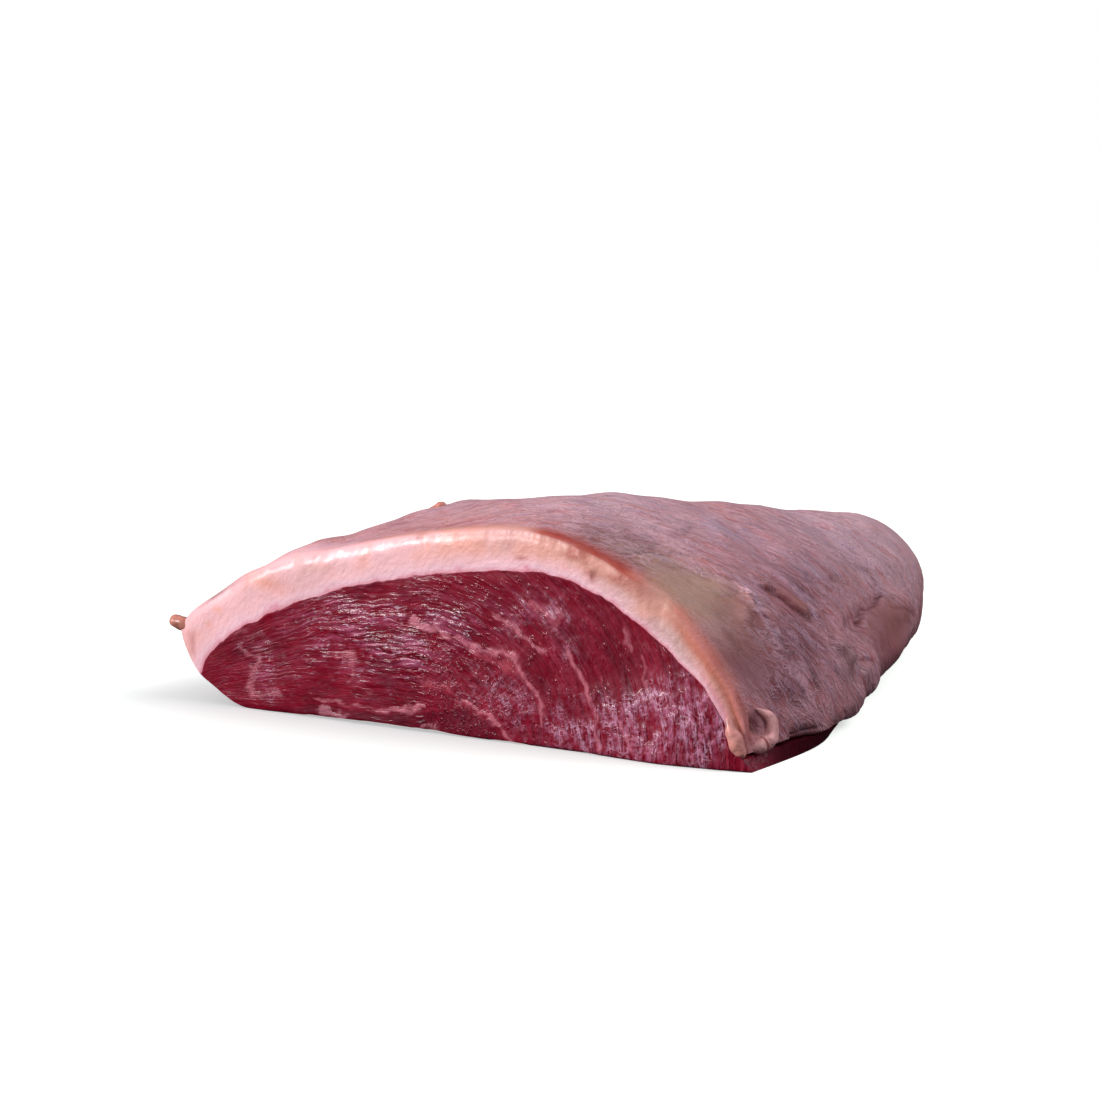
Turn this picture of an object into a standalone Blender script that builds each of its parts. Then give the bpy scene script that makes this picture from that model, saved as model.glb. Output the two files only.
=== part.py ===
# Raw picanha, the rump cap of beef: a dome of lean meat under a thick cap of fat.
# The wide end is cut square and shows the lean with the fat above it.
# Metres, +Z up. The cut faces -Y and the tip points to +Y. The origin is the middle
# of the underside, on the surface that the meat rests on.

import math

import bmesh
import bpy
import numpy as np

# Driving dimensions of the whole piece
LENGTH = 0.205  # cut face to tip
FRONT_Y = -0.101  # the cut face
TIP_BLUNTNESS = 5.0  # higher is a blunter tip
FAT_AT_TIP = 0.009
GAP = 0.0004  # between fat and lean

# Sizes at six sections, evenly spaced from the cut face to the tip.
# right, left: X of the widest points; crown_x, crown_z: the top of the dome;
# right_z, left_z: height of the widest points.
FAT = {
    "length": LENGTH,
    "right": (0.0852, 0.0913, 0.0826, 0.0745, 0.0692, 0.0590),
    "left": (-0.0920, -0.0880, -0.0790, -0.0640, -0.0420, -0.0120),
    "crown_x": (0.0190, 0.0110, 0.0180, 0.0300, 0.0390, 0.0340),
    "crown_z": (0.0559, 0.0594, 0.0554, 0.0505, 0.0520, 0.0570),
    "right_z": (0.0042, 0.0080, 0.0110, 0.0152, 0.0240, 0.0248),
    "left_z": (0.0200, 0.0190, 0.0180, 0.0160, 0.0140, 0.0120),
    "right_power": 1.72,
    "left_power": 1.50,
}
LEAN = {
    "length": LENGTH - FAT_AT_TIP,
    "right": (0.0813, 0.0862, 0.0743, 0.0664, 0.0606, 0.0500),
    "left": (-0.0834, -0.0800, -0.0705, -0.0555, -0.0340, -0.0050),
    "crown_x": (0.0265, 0.0180, 0.0220, 0.0310, 0.0390, 0.0350),
    "crown_z": (0.0453, 0.0487, 0.0447, 0.0400, 0.0415, 0.0460),
    "right_z": (0.0042, 0.0041, 0.0028, 0.0041, 0.0070, 0.0070),
    "left_z": (0.0078, 0.0084, 0.0085, 0.0075, 0.0065, 0.0050),
    "right_power": 1.52,
    "left_power": 1.65,
}

# The cut face stands forward a little in the middle and more at its lower right
BULGE = 0.0022
BULGE_HALF_WIDTH = 0.090
BULGE_HEIGHT = 0.070
CORNER_BULGE = 0.0034
CORNER_X = 0.064
CORNER_WIDTH = 0.022
CORNER_HEIGHT = 0.030
BULGE_FADE = 8  # higher fades out sooner behind the cut

# The fat's edges: rounded at the cut, turned under on the right, rounded at both rims
CUT_EDGE_RADIUS = 0.0030
CUT_EDGE_DROP = 0.0014
UNDER_REACH = 0.008
UNDER_ANGLE = math.radians(60)
UNDER_STARTS = 0.080  # full turn this far behind the cut
LEFT_RIM_ROUNDING = 0.17  # share of the rim's width
RIGHT_RIM_ROUNDING = 0.10
LOWEST_FAT = 0.0003  # above the surface that the meat rests on

# The lean below the fat: where it rests, and the foot that shows on the right
CONTACT_LEFT = (-0.0670, -0.0630, -0.0540, -0.0390, -0.0180, 0.0080)
CONTACT_RIGHT = (0.0872, 0.0876, 0.0752, 0.0664, 0.0598, 0.0490)
SLANT_POWER = 1.45  # shape of the lean's left side below the fat
FOOT_INSET = 0.0008  # foot's top behind the fat's lower edge
FOOT_DROP = 0.0013  # foot's top below the fat's lower edge
FOOT_ENDS = 0.62  # share of the length where the foot has faded out
FOOT_FADE = 0.20
FRONT_LIFT = 0.0010  # the cut's lower edge is raised a little left of the middle
LIFT_X = -0.022
LIFT_WIDTH = 0.028
LIFT_DEPTH = 0.012

# Relief of the fat's outer side
RIDGES = (
    # path, width, height; a groove has a height below zero
    (((0.069, -0.047, 0.038), (0.073, -0.045, 0.035), (0.077, -0.045, 0.031)), 0.0050, 0.0024),
    (((0.067, -0.062, 0.040), (0.072, -0.058, 0.037), (0.078, -0.054, 0.031)), 0.0024, -0.0014),
    (((0.071, -0.070, 0.037), (0.080, -0.072, 0.028), (0.087, -0.068, 0.020)), 0.0026, 0.0012),
    (((0.079, -0.025, 0.024), (0.075, -0.004, 0.025), (0.071, 0.016, 0.027)), 0.0026, -0.0018),
    (((0.087, -0.084, 0.014), (0.089, -0.077, 0.014)), 0.0024, -0.0014),
    (((0.058, -0.020, 0.045), (0.066, 0.010, 0.035), (0.064, 0.045, 0.031)), 0.0060, 0.0014),
    (((0.020, -0.040, 0.058), (0.034, 0.000, 0.051), (0.040, 0.045, 0.046)), 0.0070, 0.0004),
    (((-0.069, -0.095, 0.036), (-0.048, -0.078, 0.047), (-0.029, -0.058, 0.053)), 0.0130, 0.0014),
    (((-0.030, -0.050, 0.050), (-0.014, 0.000, 0.047), (0.010, 0.050, 0.043)), 0.0080, 0.0012),
    (((-0.070, -0.030, 0.030), (-0.045, 0.030, 0.028), (-0.010, 0.080, 0.022)), 0.0060, 0.0014),
)
PADS = (
    # centre, radii, height; a dip has a height below zero
    ((0.073, 0.014, 0.018), (0.013, 0.034, 0.0090), 0.0031),
    ((0.085, -0.044, 0.020), (0.006, 0.007, 0.0060), 0.0020),
    ((0.083, -0.023, 0.013), (0.006, 0.009, 0.0055), 0.0020),
    ((0.062, -0.084, 0.040), (0.018, 0.018, 0.0140), 0.0009),
    ((-0.056, -0.088, 0.043), (0.009, 0.012, 0.0070), 0.0009),
    ((-0.033, -0.058, 0.051), (0.012, 0.014, 0.0080), 0.0011),
    ((0.034, 0.038, 0.048), (0.016, 0.026, 0.0100), -0.0010),
    ((0.052, 0.070, 0.032), (0.016, 0.022, 0.0130), 0.0016),
    ((-0.070, 0.000, 0.024), (0.014, 0.030, 0.0090), 0.0020),
    ((0.000, 0.070, 0.030), (0.022, 0.020, 0.0120), 0.0016),
)
SWELLS = (
    # wavelength along X, Y and Z, phase, height
    (0.061, 0.047, 0.090, 0.4, 0.0003),
    (0.033, 0.071, 0.050, 2.1, 0.0002),
    (0.026, 0.023, 0.031, 4.0, 0.0002),
)
SWELLS_START = 0.030  # behind the cut

# Strands of fat that stand out: the curl at the cut's lower right corner, the tag at
# its left tip and a small tag on top. Each has a path and a radius.
CURL = (
    (
        (0.0856, -0.0925, 0.0140),
        (0.0867, -0.0905, 0.0114),
        (0.0873, -0.0905, 0.0087),
        (0.0873, -0.0925, 0.0062),
        (0.0863, -0.0962, 0.0055),
        (0.0846, -0.0996, 0.0054),
    ),
    0.0020,
)
LEFT_TAG = (
    ((-0.0890, -0.0985, 0.0190), (-0.0920, -0.0990, 0.0205), (-0.0962, -0.0992, 0.0220)),
    0.0021,
)
TOP_TAG = (
    ((-0.0325, -0.0605, 0.0500), (-0.0312, -0.0602, 0.0535), (-0.0298, -0.0599, 0.0557)),
    0.0018,
)
CURL_PIT = ((0.0860, -0.0962, 0.0108), (0.0026, 0.0022, 0.0026))  # centre, radii

# Mesh density
INNER_POINTS = 27
OUTER_POINTS = 2 * INNER_POINTS - 1
STATIONS = 43
RIM_STEPS = 3
FACE_ROWS = 7
STRAND_SIDES = 8
STRAND_RINGS = 9


def through(share, values):
    """Smooth curve through evenly spaced values, read at a share from 0 to 1."""
    values = np.asarray(values, float)
    last = len(values) - 1
    place = np.clip(share, 0, 1) * last
    i = np.minimum(place.astype(int), last - 1)
    f = (place - i).reshape(place.shape + (1,) * (values.ndim - 1))
    before = 2 * values[:1] - values[1:2]
    after = 2 * values[-1:] - values[-2:-1]
    padded = np.concatenate([before, values, after])
    a, b, c, d = padded[i], padded[i + 1], padded[i + 2], padded[i + 3]
    cubic = (3 * b - a - 3 * c + d) * f + (2 * a - 5 * b + 4 * c - d)
    return 0.5 * (2 * b + (c - a) * f + cubic * f**2)


def smoothstep(value):
    value = np.clip(value, 0, 1)
    return value * value * (3 - 2 * value)


def blend(first, second, share):
    return first + (second - first) * share


def section_shares(count):
    """Shares of the length: close together at the cut's edge and at the tip."""
    step = np.linspace(0, 1, count - 1)[1:]
    rest = np.sin(math.pi / 2 * (0.62 * step + 0.38 * step**2))
    return np.concatenate([[0.0, CUT_EDGE_RADIUS / 3 / LENGTH], rest])


def tip_taper(share):
    return np.sqrt(np.maximum(0, 1 - share**TIP_BLUNTNESS))


def face_bulge(x, z):
    """How far the cut face stands forward at x, z."""
    across = np.clip(1 - (x / BULGE_HALF_WIDTH) ** 2, 0, 1)
    middle = BULGE * across * np.clip(1 - z / BULGE_HEIGHT, 0, 1)
    corner = CORNER_BULGE * np.exp(-(((x - CORNER_X) / CORNER_WIDTH) ** 2))
    return middle + corner * np.clip(1 - z / CORNER_HEIGHT, 0, 1)


def section_points(shares, length, x, z):
    """Points of each section, moved forward by the cut face's bulge, which fades out."""
    fade = (1 - shares[:, None]) ** BULGE_FADE
    y = FRONT_Y + length * shares[:, None] - face_bulge(x, z) * fade
    return np.stack([x, y, z], -1)


def dome(size, shares, points, turns_under):
    """Grid of points, one row a section, from the left edge over the crown to the right.

    Each side is a quarter of a superellipse between the crown and the widest point.
    Where turns_under is true the right side carries on below its widest point.
    """
    taper = tip_taper(shares)[:, None]
    row = {k: through(shares, v)[:, None] for k, v in size.items() if isinstance(v, tuple)}
    under = np.zeros_like(taper)
    if turns_under:
        under = UNDER_ANGLE * smoothstep(shares[:, None] * size["length"] / UNDER_STARTS)
    angle = math.pi - (math.pi + under) * np.linspace(0, 1, points)[None, :]
    cosine, sine = np.cos(angle), np.sin(angle)
    side = np.where(cosine > 0, size["right_power"], size["left_power"])
    widest = np.where(cosine > 0, row["right"], row["left"])
    low = np.where(cosine > 0, row["right_z"], row["left_z"])
    x = blend(row["crown_x"], widest, taper * np.abs(cosine) ** (2 / side))
    z = taper * blend(low, row["crown_z"], np.clip(sine, 0, 1) ** (2 / side))
    under_x = blend(row["crown_x"], row["right"], taper) - UNDER_REACH * (1 - cosine) * taper
    under_z = row["right_z"] * taper * (1 + 0.8 * sine)
    x = np.where(sine < 0, under_x, x)
    z = np.where(sine < 0, under_z, z)
    return section_points(shares, size["length"], x, z)


def outward(grid):
    """Unit normals of a grid of points, away from the meat."""
    across = np.gradient(grid, axis=1)
    along = np.gradient(grid, axis=0)
    normal = np.cross(across, along)
    length = np.linalg.norm(normal, axis=-1, keepdims=True)
    return normal / np.maximum(length, 1e-12)


def distance_to_path(points, path):
    """Distance from each point to the straight runs through the path's points."""
    nearest = np.full(points.shape[:-1], np.inf)
    for start, end in zip(np.array(path[:-1]), np.array(path[1:])):
        run = end - start
        share = np.clip(((points - start) @ run) / (run @ run), 0, 1)
        gap = np.linalg.norm(points - start - share[..., None] * run, axis=-1)
        nearest = np.minimum(nearest, gap)
    return nearest


def fat_relief(points):
    """Height of the fat's folds, pads and swells above the plain dome."""
    height = np.zeros(points.shape[:-1])
    for path, width, rise in RIDGES:
        height += rise * np.exp(-((distance_to_path(points, path) / width) ** 2))
    for centre, radii, rise in PADS:
        reach = np.linalg.norm((points - np.array(centre)) / np.array(radii), axis=-1)
        height += rise * np.exp(-(reach**4))
    behind = points[..., 1] - FRONT_Y
    for long_x, long_y, long_z, phase, rise in SWELLS:
        turn = points[..., 0] / long_x + points[..., 1] / long_y + points[..., 2] / long_z
        wave = rise * np.sin(math.tau * turn + phase)
        height += wave * smoothstep(behind / SWELLS_START)
    near_edge = np.clip(1 - behind / CUT_EDGE_RADIUS, 0, 1)
    return height - CUT_EDGE_DROP * (1 - np.sqrt(1 - near_edge**2))


def material(name, colour, roughness):
    made = bpy.data.materials.new(name)
    made.use_nodes = True
    shader = made.node_tree.nodes["Principled BSDF"]
    shader.inputs["Base Color"].default_value = (*colour, 1)
    shader.inputs["Roughness"].default_value = roughness
    shader.inputs["Metallic"].default_value = 0
    return made


def finish_mesh(bm, name):
    """Welds points that coincide, makes triangles that face outwards and returns a mesh."""
    bmesh.ops.remove_doubles(bm, verts=bm.verts, dist=1e-7)
    bmesh.ops.triangulate(bm, faces=bm.faces)
    bmesh.ops.recalc_face_normals(bm, faces=bm.faces)
    if bm.calc_volume(signed=True) < 0:
        bmesh.ops.reverse_faces(bm, faces=bm.faces)
    mesh = bpy.data.meshes.new(name)
    bm.to_mesh(mesh)
    bm.free()
    return mesh


def add_piece(name, mesh, surface, parent):
    mesh.shade_smooth()
    mesh.set_sharp_from_angle(angle=math.radians(45))
    mesh.materials.clear()
    mesh.materials.append(surface)
    piece = bpy.data.objects.new(name, mesh)
    bpy.context.scene.collection.objects.link(piece)
    piece.parent = parent
    return piece


def add_grid(bm, grid):
    """Adds a grid of points as vertices and returns them row by row."""
    return [[bm.verts.new(point) for point in row] for row in grid]


def skin(bm, rows):
    """Faces between neighbouring rows of vertices; rows may share their end vertices."""
    for near, far in zip(rows, rows[1:]):
        for i in range(len(near) - 1):
            corners = (near[i], near[i + 1], far[i + 1], far[i])
            bm.faces.new(dict.fromkeys(corners))


def rim_grid(outer_line, inner_line, rounding):
    """Lines between an outer and an inner edge, pushed out into a rounded rim."""
    run = inner_line - outer_line
    side = np.stack([run[:, 2], 0 * run[:, 1], -run[:, 0]], -1) * rounding
    share = np.linspace(0, 1, RIM_STEPS + 1)[1:-1, None, None]
    return outer_line + run * share + side * 4 * share * (1 - share)


def strand_mesh(path, radius):
    """A tube with rounded ends, carried along a path."""
    share = np.linspace(0, 1, STRAND_RINGS)
    centre = through(share, path)
    run = np.gradient(centre, axis=0)
    run /= np.linalg.norm(run, axis=1, keepdims=True)
    across = np.cross(run, (0.3, 0.2, 1.0))
    across /= np.linalg.norm(across, axis=1, keepdims=True)
    over = np.cross(across, run)
    turn = np.linspace(0, math.tau, STRAND_SIDES, endpoint=False)[None, :, None]
    size = radius * (1 - np.abs(2 * share - 1) ** 3)[:, None, None] ** 0.5
    ring = np.cos(turn) * across[:, None] + np.sin(turn) * over[:, None]
    points = centre[:, None] + ring * size
    bm = bmesh.new()
    rows = add_grid(bm, points)
    skin(bm, [row + row[:1] for row in rows])
    return finish_mesh(bm, "strand")


def pit_mesh(centre, radii):
    bm = bmesh.new()
    bmesh.ops.create_icosphere(bm, subdivisions=2, radius=1)
    bmesh.ops.scale(bm, verts=bm.verts, vec=radii)
    bmesh.ops.translate(bm, verts=bm.verts, vec=centre)
    return finish_mesh(bm, "pit")


def combine(mesh, others, operation):
    """The mesh joined with the others, or with them cut out of it."""
    scene = bpy.context.scene
    body = bpy.data.objects.new("body", mesh)
    scene.collection.objects.link(body)
    group = bpy.data.collections.new("others")
    for other in others:
        group.objects.link(bpy.data.objects.new("other", other))
    join = body.modifiers.new("join", "BOOLEAN")
    join.operation = operation
    join.solver = "EXACT"
    join.operand_type = "COLLECTION"
    join.collection = group
    evaluated = body.evaluated_get(bpy.context.evaluated_depsgraph_get())
    bm = bmesh.new()
    bm.from_mesh(evaluated.data)
    for used in [body, *group.objects]:
        bpy.data.objects.remove(used)
    bpy.data.collections.remove(group)
    return finish_mesh(bm, "joined")


def fat_cap(surface, parent):
    """The cap: the outer dome with its relief, the lean's dome inside it, and its rims."""
    shares = section_shares(STATIONS)
    outer = dome(FAT, shares, OUTER_POINTS, turns_under=True)
    outer = outer + outward(outer) * fat_relief(outer)[..., None]
    outer[..., 2] = np.maximum(outer[..., 2], LOWEST_FAT)
    outer[-1] = outer[-1].mean(0)
    inner = dome(LEAN, shares, INNER_POINTS, turns_under=False)
    inner[..., 2] = np.maximum(inner[..., 2], LOWEST_FAT)
    taper = tip_taper(shares)[:, None]
    left_rim = rim_grid(outer[:, 0], inner[:, 0], LEFT_RIM_ROUNDING * taper)
    right_rim = rim_grid(outer[:, -1], inner[:, -1], -RIGHT_RIM_ROUNDING * taper)
    bm = bmesh.new()
    outer_rows = add_grid(bm, outer)
    inner_rows = add_grid(bm, inner)
    skin(bm, outer_rows)
    skin(bm, inner_rows)
    for end, lines in ((0, left_rim), (-1, right_rim)):
        rim = [[row[end] for row in outer_rows]]
        rim += add_grid(bm, lines)
        rim.append([row[end] for row in inner_rows])
        skin(bm, rim)
        bm.faces.new([line[0] for line in rim])
    for i in range(INNER_POINTS - 1):  # the cut end, two outer steps to an inner one
        a, b, c = outer_rows[0][2 * i : 2 * i + 3]
        p, q = inner_rows[0][i : i + 2]
        for corners in ((a, b, p), (b, q, p), (b, c, q)):
            bm.faces.new(corners)
    cap = finish_mesh(bm, "cap")
    strands = [strand_mesh(*strand) for strand in (CURL, LEFT_TAG, TOP_TAG)]
    cap = combine(cap, strands, "UNION")
    cap = combine(cap, [pit_mesh(*CURL_PIT)], "DIFFERENCE")
    return add_piece("fat_cap", cap, surface, parent)


def underside(shares, top, fat_edge):
    """Each section's underside, from the lean's left tip to its right tip.

    It comes down the slanted left side, runs flat on the table, and rises round the
    foot that stands out below the fat's right edge.
    """
    taper = tip_taper(shares)[:, None]
    middle = through(shares, LEAN["crown_x"])[:, None]
    left_x = blend(middle, through(shares, CONTACT_LEFT)[:, None], taper)
    right_x = blend(middle, through(shares, CONTACT_RIGHT)[:, None], taper)
    left_tip_x, left_tip_z = top[:, :1, 0], top[:, :1, 2]
    right_tip_x, right_tip_z = top[:, -1:, 0], top[:, -1:, 2]
    stands_out = smoothstep((FOOT_ENDS - shares[:, None]) / FOOT_FADE)
    foot_x = blend(right_tip_x, fat_edge[:, None, 0] - FOOT_INSET, stands_out)
    foot_z = blend(right_tip_z, fat_edge[:, None, 2] - FOOT_DROP, stands_out)
    slant, foot, shelf = 4, 2, 2
    down = np.linspace(0, 1, slant + 1)[None, :-1]
    across = np.linspace(0, 1, INNER_POINTS - slant - foot - shelf)[None, :]
    rise = np.linspace(0, 1, foot + 1)[None, 1:]
    inwards = np.linspace(0, 1, shelf + 1)[None, 1:]
    x = [
        blend(left_tip_x, left_x, down),
        blend(left_x, right_x, across),
        blend(right_x, foot_x, rise),
        blend(foot_x, right_tip_x, inwards),
    ]
    z = [
        left_tip_z * (1 - down) ** SLANT_POWER,
        0 * left_x * across,
        foot_z * rise,
        blend(foot_z, right_tip_z, inwards),
    ]
    x, z = np.concatenate(x, 1), np.concatenate(z, 1)
    behind = LEAN["length"] * shares[:, None]
    lift = FRONT_LIFT * np.exp(-(((x - LIFT_X) / LIFT_WIDTH) ** 2 + (behind / LIFT_DEPTH) ** 2))
    lift[:, [0, -1]] = 0
    return section_points(shares, LEAN["length"] - GAP, x, z + lift)


def lean_size():
    """The lean's own dome, a gap inside the fat's inner side."""
    size = dict(LEAN)
    size["length"] = LEAN["length"] - GAP
    size["right"] = tuple(v - GAP for v in LEAN["right"])
    size["left"] = tuple(v + GAP for v in LEAN["left"])
    size["crown_z"] = tuple(v - GAP for v in LEAN["crown_z"])
    size["right_z"] = tuple(v - GAP for v in LEAN["right_z"])
    size["left_z"] = tuple(v - GAP for v in LEAN["left_z"])
    return size


def lean(surface, parent):
    """The muscle: its dome, its underside and the cut face between them."""
    shares = section_shares(STATIONS)
    top = dome(lean_size(), shares, INNER_POINTS, turns_under=False)
    fat_edge = dome(FAT, shares, OUTER_POINTS, turns_under=True)[:, -1]
    base = underside(shares, top, fat_edge)
    bm = bmesh.new()
    top_rows = add_grid(bm, top)
    base_rows = add_grid(bm, base)
    skin(bm, top_rows)
    skin(bm, base_rows)
    left_tip, right_tip = base_rows[0][0], base_rows[0][-1]
    face_rows = [base_rows[0]]
    for share in np.linspace(0, 1, FACE_ROWS + 1)[1:-1]:
        line = blend(base[0], top[0], share)
        line[:, 1] = FRONT_Y - face_bulge(line[:, 0], line[:, 2])
        inside = [bm.verts.new(point) for point in line[1:-1]]
        face_rows.append([left_tip, *inside, right_tip])
    face_rows.append(top_rows[0])
    skin(bm, face_rows)
    return add_piece("lean", finish_mesh(bm, "muscle"), surface, parent)


def clear_scene():
    for old in list(bpy.data.objects):
        bpy.data.objects.remove(old)


def main():
    clear_scene()
    whole = bpy.data.objects.new("picanha", None)
    bpy.context.scene.collection.objects.link(whole)
    lean(material("lean_beef", (0.18, 0.012, 0.028), 0.35), whole)
    fat_cap(material("beef_fat", (0.72, 0.48, 0.44), 0.45), whole)


main()
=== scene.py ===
# Raw picanha, the rump cap of beef: lean under a thick cap of fat, cut square at its
# wide end. Sizes are millimetres until makePiece turns them into metres.
import math
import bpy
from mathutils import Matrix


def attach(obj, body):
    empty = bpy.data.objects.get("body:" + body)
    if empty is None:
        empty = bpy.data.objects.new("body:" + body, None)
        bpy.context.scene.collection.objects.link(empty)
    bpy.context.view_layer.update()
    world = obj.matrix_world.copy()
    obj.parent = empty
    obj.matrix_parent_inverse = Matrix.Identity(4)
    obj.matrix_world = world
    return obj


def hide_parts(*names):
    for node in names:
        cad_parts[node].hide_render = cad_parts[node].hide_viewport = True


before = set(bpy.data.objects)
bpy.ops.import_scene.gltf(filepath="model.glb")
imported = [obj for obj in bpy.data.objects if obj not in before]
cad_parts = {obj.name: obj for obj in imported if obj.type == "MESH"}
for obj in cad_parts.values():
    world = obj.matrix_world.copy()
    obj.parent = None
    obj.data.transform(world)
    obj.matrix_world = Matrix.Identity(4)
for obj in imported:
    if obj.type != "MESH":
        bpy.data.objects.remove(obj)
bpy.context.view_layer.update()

from types import SimpleNamespace

import bpy
import numpy as np

mm = 0.001
sharpAngle = math.radians(65)  # faces that meet at more than this keep a sharp edge

wholePiece = {
    "frontY": -101.0,  # the cut face
    "tipBluntness": 5.0,
    "tipFall": 60.0,  # from the crown to the tip, for spacing the sections
    "bulge": 2.2,  # the cut stands forward in the middle
    "bulgeHalfWidth": 90.0,
    "bulgeHeight": 70.0,
    "cornerBulge": 3.4,  # and more at its lower right
    "cornerX": 64.0,
    "cornerWidth": 22.0,
    "cornerHeight": 30.0,
    "bulgeFade": 8,
    "heightLimit": 59.2,
    "sideLimit": 91.5,
    "frontLimit": -105.5,
}


def ease(value):
    # 0 up to 0 and 1 from 1 on, with the curve 3 v^2 - 2 v^3 between
    value = np.clip(value, 0, 1)
    return value * value * (3 - 2 * value)


def ramp(value, start, length):
    # Rises smoothly from 0 at the start to 1 a length further on
    return ease((value - start) / length)


def blend(first, second, share):
    # The first at share 0, the second at share 1, on a straight line between
    return first + (second - first) * share


def limited(value, limit):
    # Values that come within 1 of a limit level off below it
    over = np.maximum(value - limit + 1, 0)
    return np.where(over > 0, limit - 1 + np.tanh(over), value)


def through(share, values):
    # Smooth curve through evenly spaced values, read at a share from 0 to 1
    values = np.asarray(values, float)
    last = len(values) - 1
    place = np.clip(share, 0, 1) * last
    i = np.minimum(place.astype(int), last - 1)
    f = (place - i).reshape(place.shape + (1,) * (values.ndim - 1))
    before = 2 * values[:1] - values[1:2]
    after = 2 * values[-1:] - values[-2:-1]
    padded = np.concatenate([before, values, after])
    a, b, c, d = padded[i], padded[i + 1], padded[i + 2], padded[i + 3]
    cubic = (3 * b - a - 3 * c + d) * f + (2 * a - 5 * b + 4 * c - d)
    return 0.5 * (2 * b + (c - a) * f + cubic * f**2)


def scrambled(place, seed):
    # Whole-number places to numbers from 0 to 1 that look random
    n = place[..., 0] * 73856093 ^ place[..., 1] * 19349663 ^ place[..., 2] * 83492791
    n = (n ^ (seed * 2654435761)) * 1274126177
    n = (n ^ (n >> 15)) * 2246822519
    n = n ^ (n >> 13)
    return (n & 0xFFFFFF) / 0xFFFFFF


def softNoise(points, wavelength, seed):
    # Gradient noise, about -1 to 1: each corner of a lattice has a slope in a random
    # direction, and the slopes are blended from corner to corner
    spot = np.asarray(points, float) / wavelength
    cell = np.floor(spot).astype(np.int64)
    offset = spot - cell
    fade = offset**3 * (offset * (offset * 6 - 15) + 10)
    total = np.zeros(spot.shape[:-1])
    for corner in np.ndindex(2, 2, 2):
        slope = [scrambled(cell + corner, seed * 3 + k) * 2 - 1 for k in range(3)]
        weight = np.prod(np.where(corner, fade, 1 - fade), -1)
        total += weight * np.sum(np.stack(slope, -1) * (offset - corner), -1)
    return total * 1.6


def noise(points, wavelength, layers, seed):
    # Soft noise with finer and lower layers added
    wavelength = np.asarray(wavelength, float)
    total = 0
    for layer in range(layers):
        total = total + softNoise(points, wavelength / 2**layer, seed + layer) / 2**layer
    return total


def noiseVector(points, wavelength, layers, seed, size=3):
    # Layered noises side by side, to push points about with
    seeds = range(seed, seed + 10 * size, 10)
    return np.stack([noise(points, wavelength, layers, s) for s in seeds], -1)


def onCut(x, z):
    return np.stack([x, 0 * x, z], -1)


def pathDistance(points, path):
    # Distance to the straight runs through the path's points
    nearest = np.full(points.shape[:-1], np.inf)
    for start, end in zip(np.array(path[:-1], float), np.array(path[1:], float)):
        run = end - start
        share = np.clip(((points - start) @ run) / (run @ run), 0, 1)
        gap = np.linalg.norm(points - start - share[..., None] * run, axis=-1)
        nearest = np.minimum(nearest, gap)
    return nearest


def nearPath(points, path, width):
    # 1 on the path, falling as a bell curve beside it
    return np.exp(-((pathDistance(points, path) / width) ** 2))


def reachFrom(points, centre, radii):
    # Distance from a centre, counted in radii
    return np.linalg.norm((points - np.array(centre)) / np.array(radii), axis=-1)


def besidePath(points, away, path, endFade):
    # Distance to the path, above zero on the left of it as seen from outside, and a
    # share that falls to nothing at both its ends
    path = np.array(path, float)
    runs = np.diff(path, axis=0)
    nearest = np.full(points.shape[:-1], np.inf)
    signed, travelled, done = np.zeros(nearest.shape), np.zeros(nearest.shape), 0.0
    for start, run in zip(path, runs):
        length = np.linalg.norm(run)
        share = np.clip(((points - start) @ run) / length**2, 0, 1)
        offset = points - start - share[..., None] * run
        gap = np.linalg.norm(offset, axis=-1)
        left = np.sum(np.cross(away, run) * offset, axis=-1) > 0
        closer = gap < nearest
        signed = np.where(closer, np.where(left, gap, -gap), signed)
        travelled = np.where(closer, done + share * length, travelled)
        nearest = np.minimum(nearest, gap)
        done += length
    return signed, ease(travelled / endFade) * ease((done - travelled) / endFade)


def tipTaper(share):
    # How far the girth has left to fall to the tip: the root of 1 - share^bluntness
    return np.sqrt(np.maximum(0, 1 - share ** wholePiece["tipBluntness"]))


def faceBulge(x, z):
    # How far the cut stands forward: a low arch in the middle and a bump at the corner
    p = wholePiece
    across = np.clip(1 - (x / p["bulgeHalfWidth"]) ** 2, 0, 1)
    middle = p["bulge"] * across * np.clip(1 - z / p["bulgeHeight"], 0, 1)
    corner = p["cornerBulge"] * np.exp(-(((x - p["cornerX"]) / p["cornerWidth"]) ** 2))
    return middle + corner * np.clip(1 - z / p["cornerHeight"], 0, 1)


def behindCut(points):
    # Distance behind the cut, which stands forward by its bulge
    return points[..., 1] - wholePiece["frontY"] + faceBulge(points[..., 0], points[..., 2])


def sectionPoints(shares, length, x, z):
    # Puts sections along the length; the first ones follow the cut's bulge
    p = wholePiece
    fade = (1 - shares[:, None]) ** p["bulgeFade"]
    y = p["frontY"] + length * shares[:, None] - faceBulge(x, z) * fade
    return np.stack([x, y, z], -1)


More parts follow.
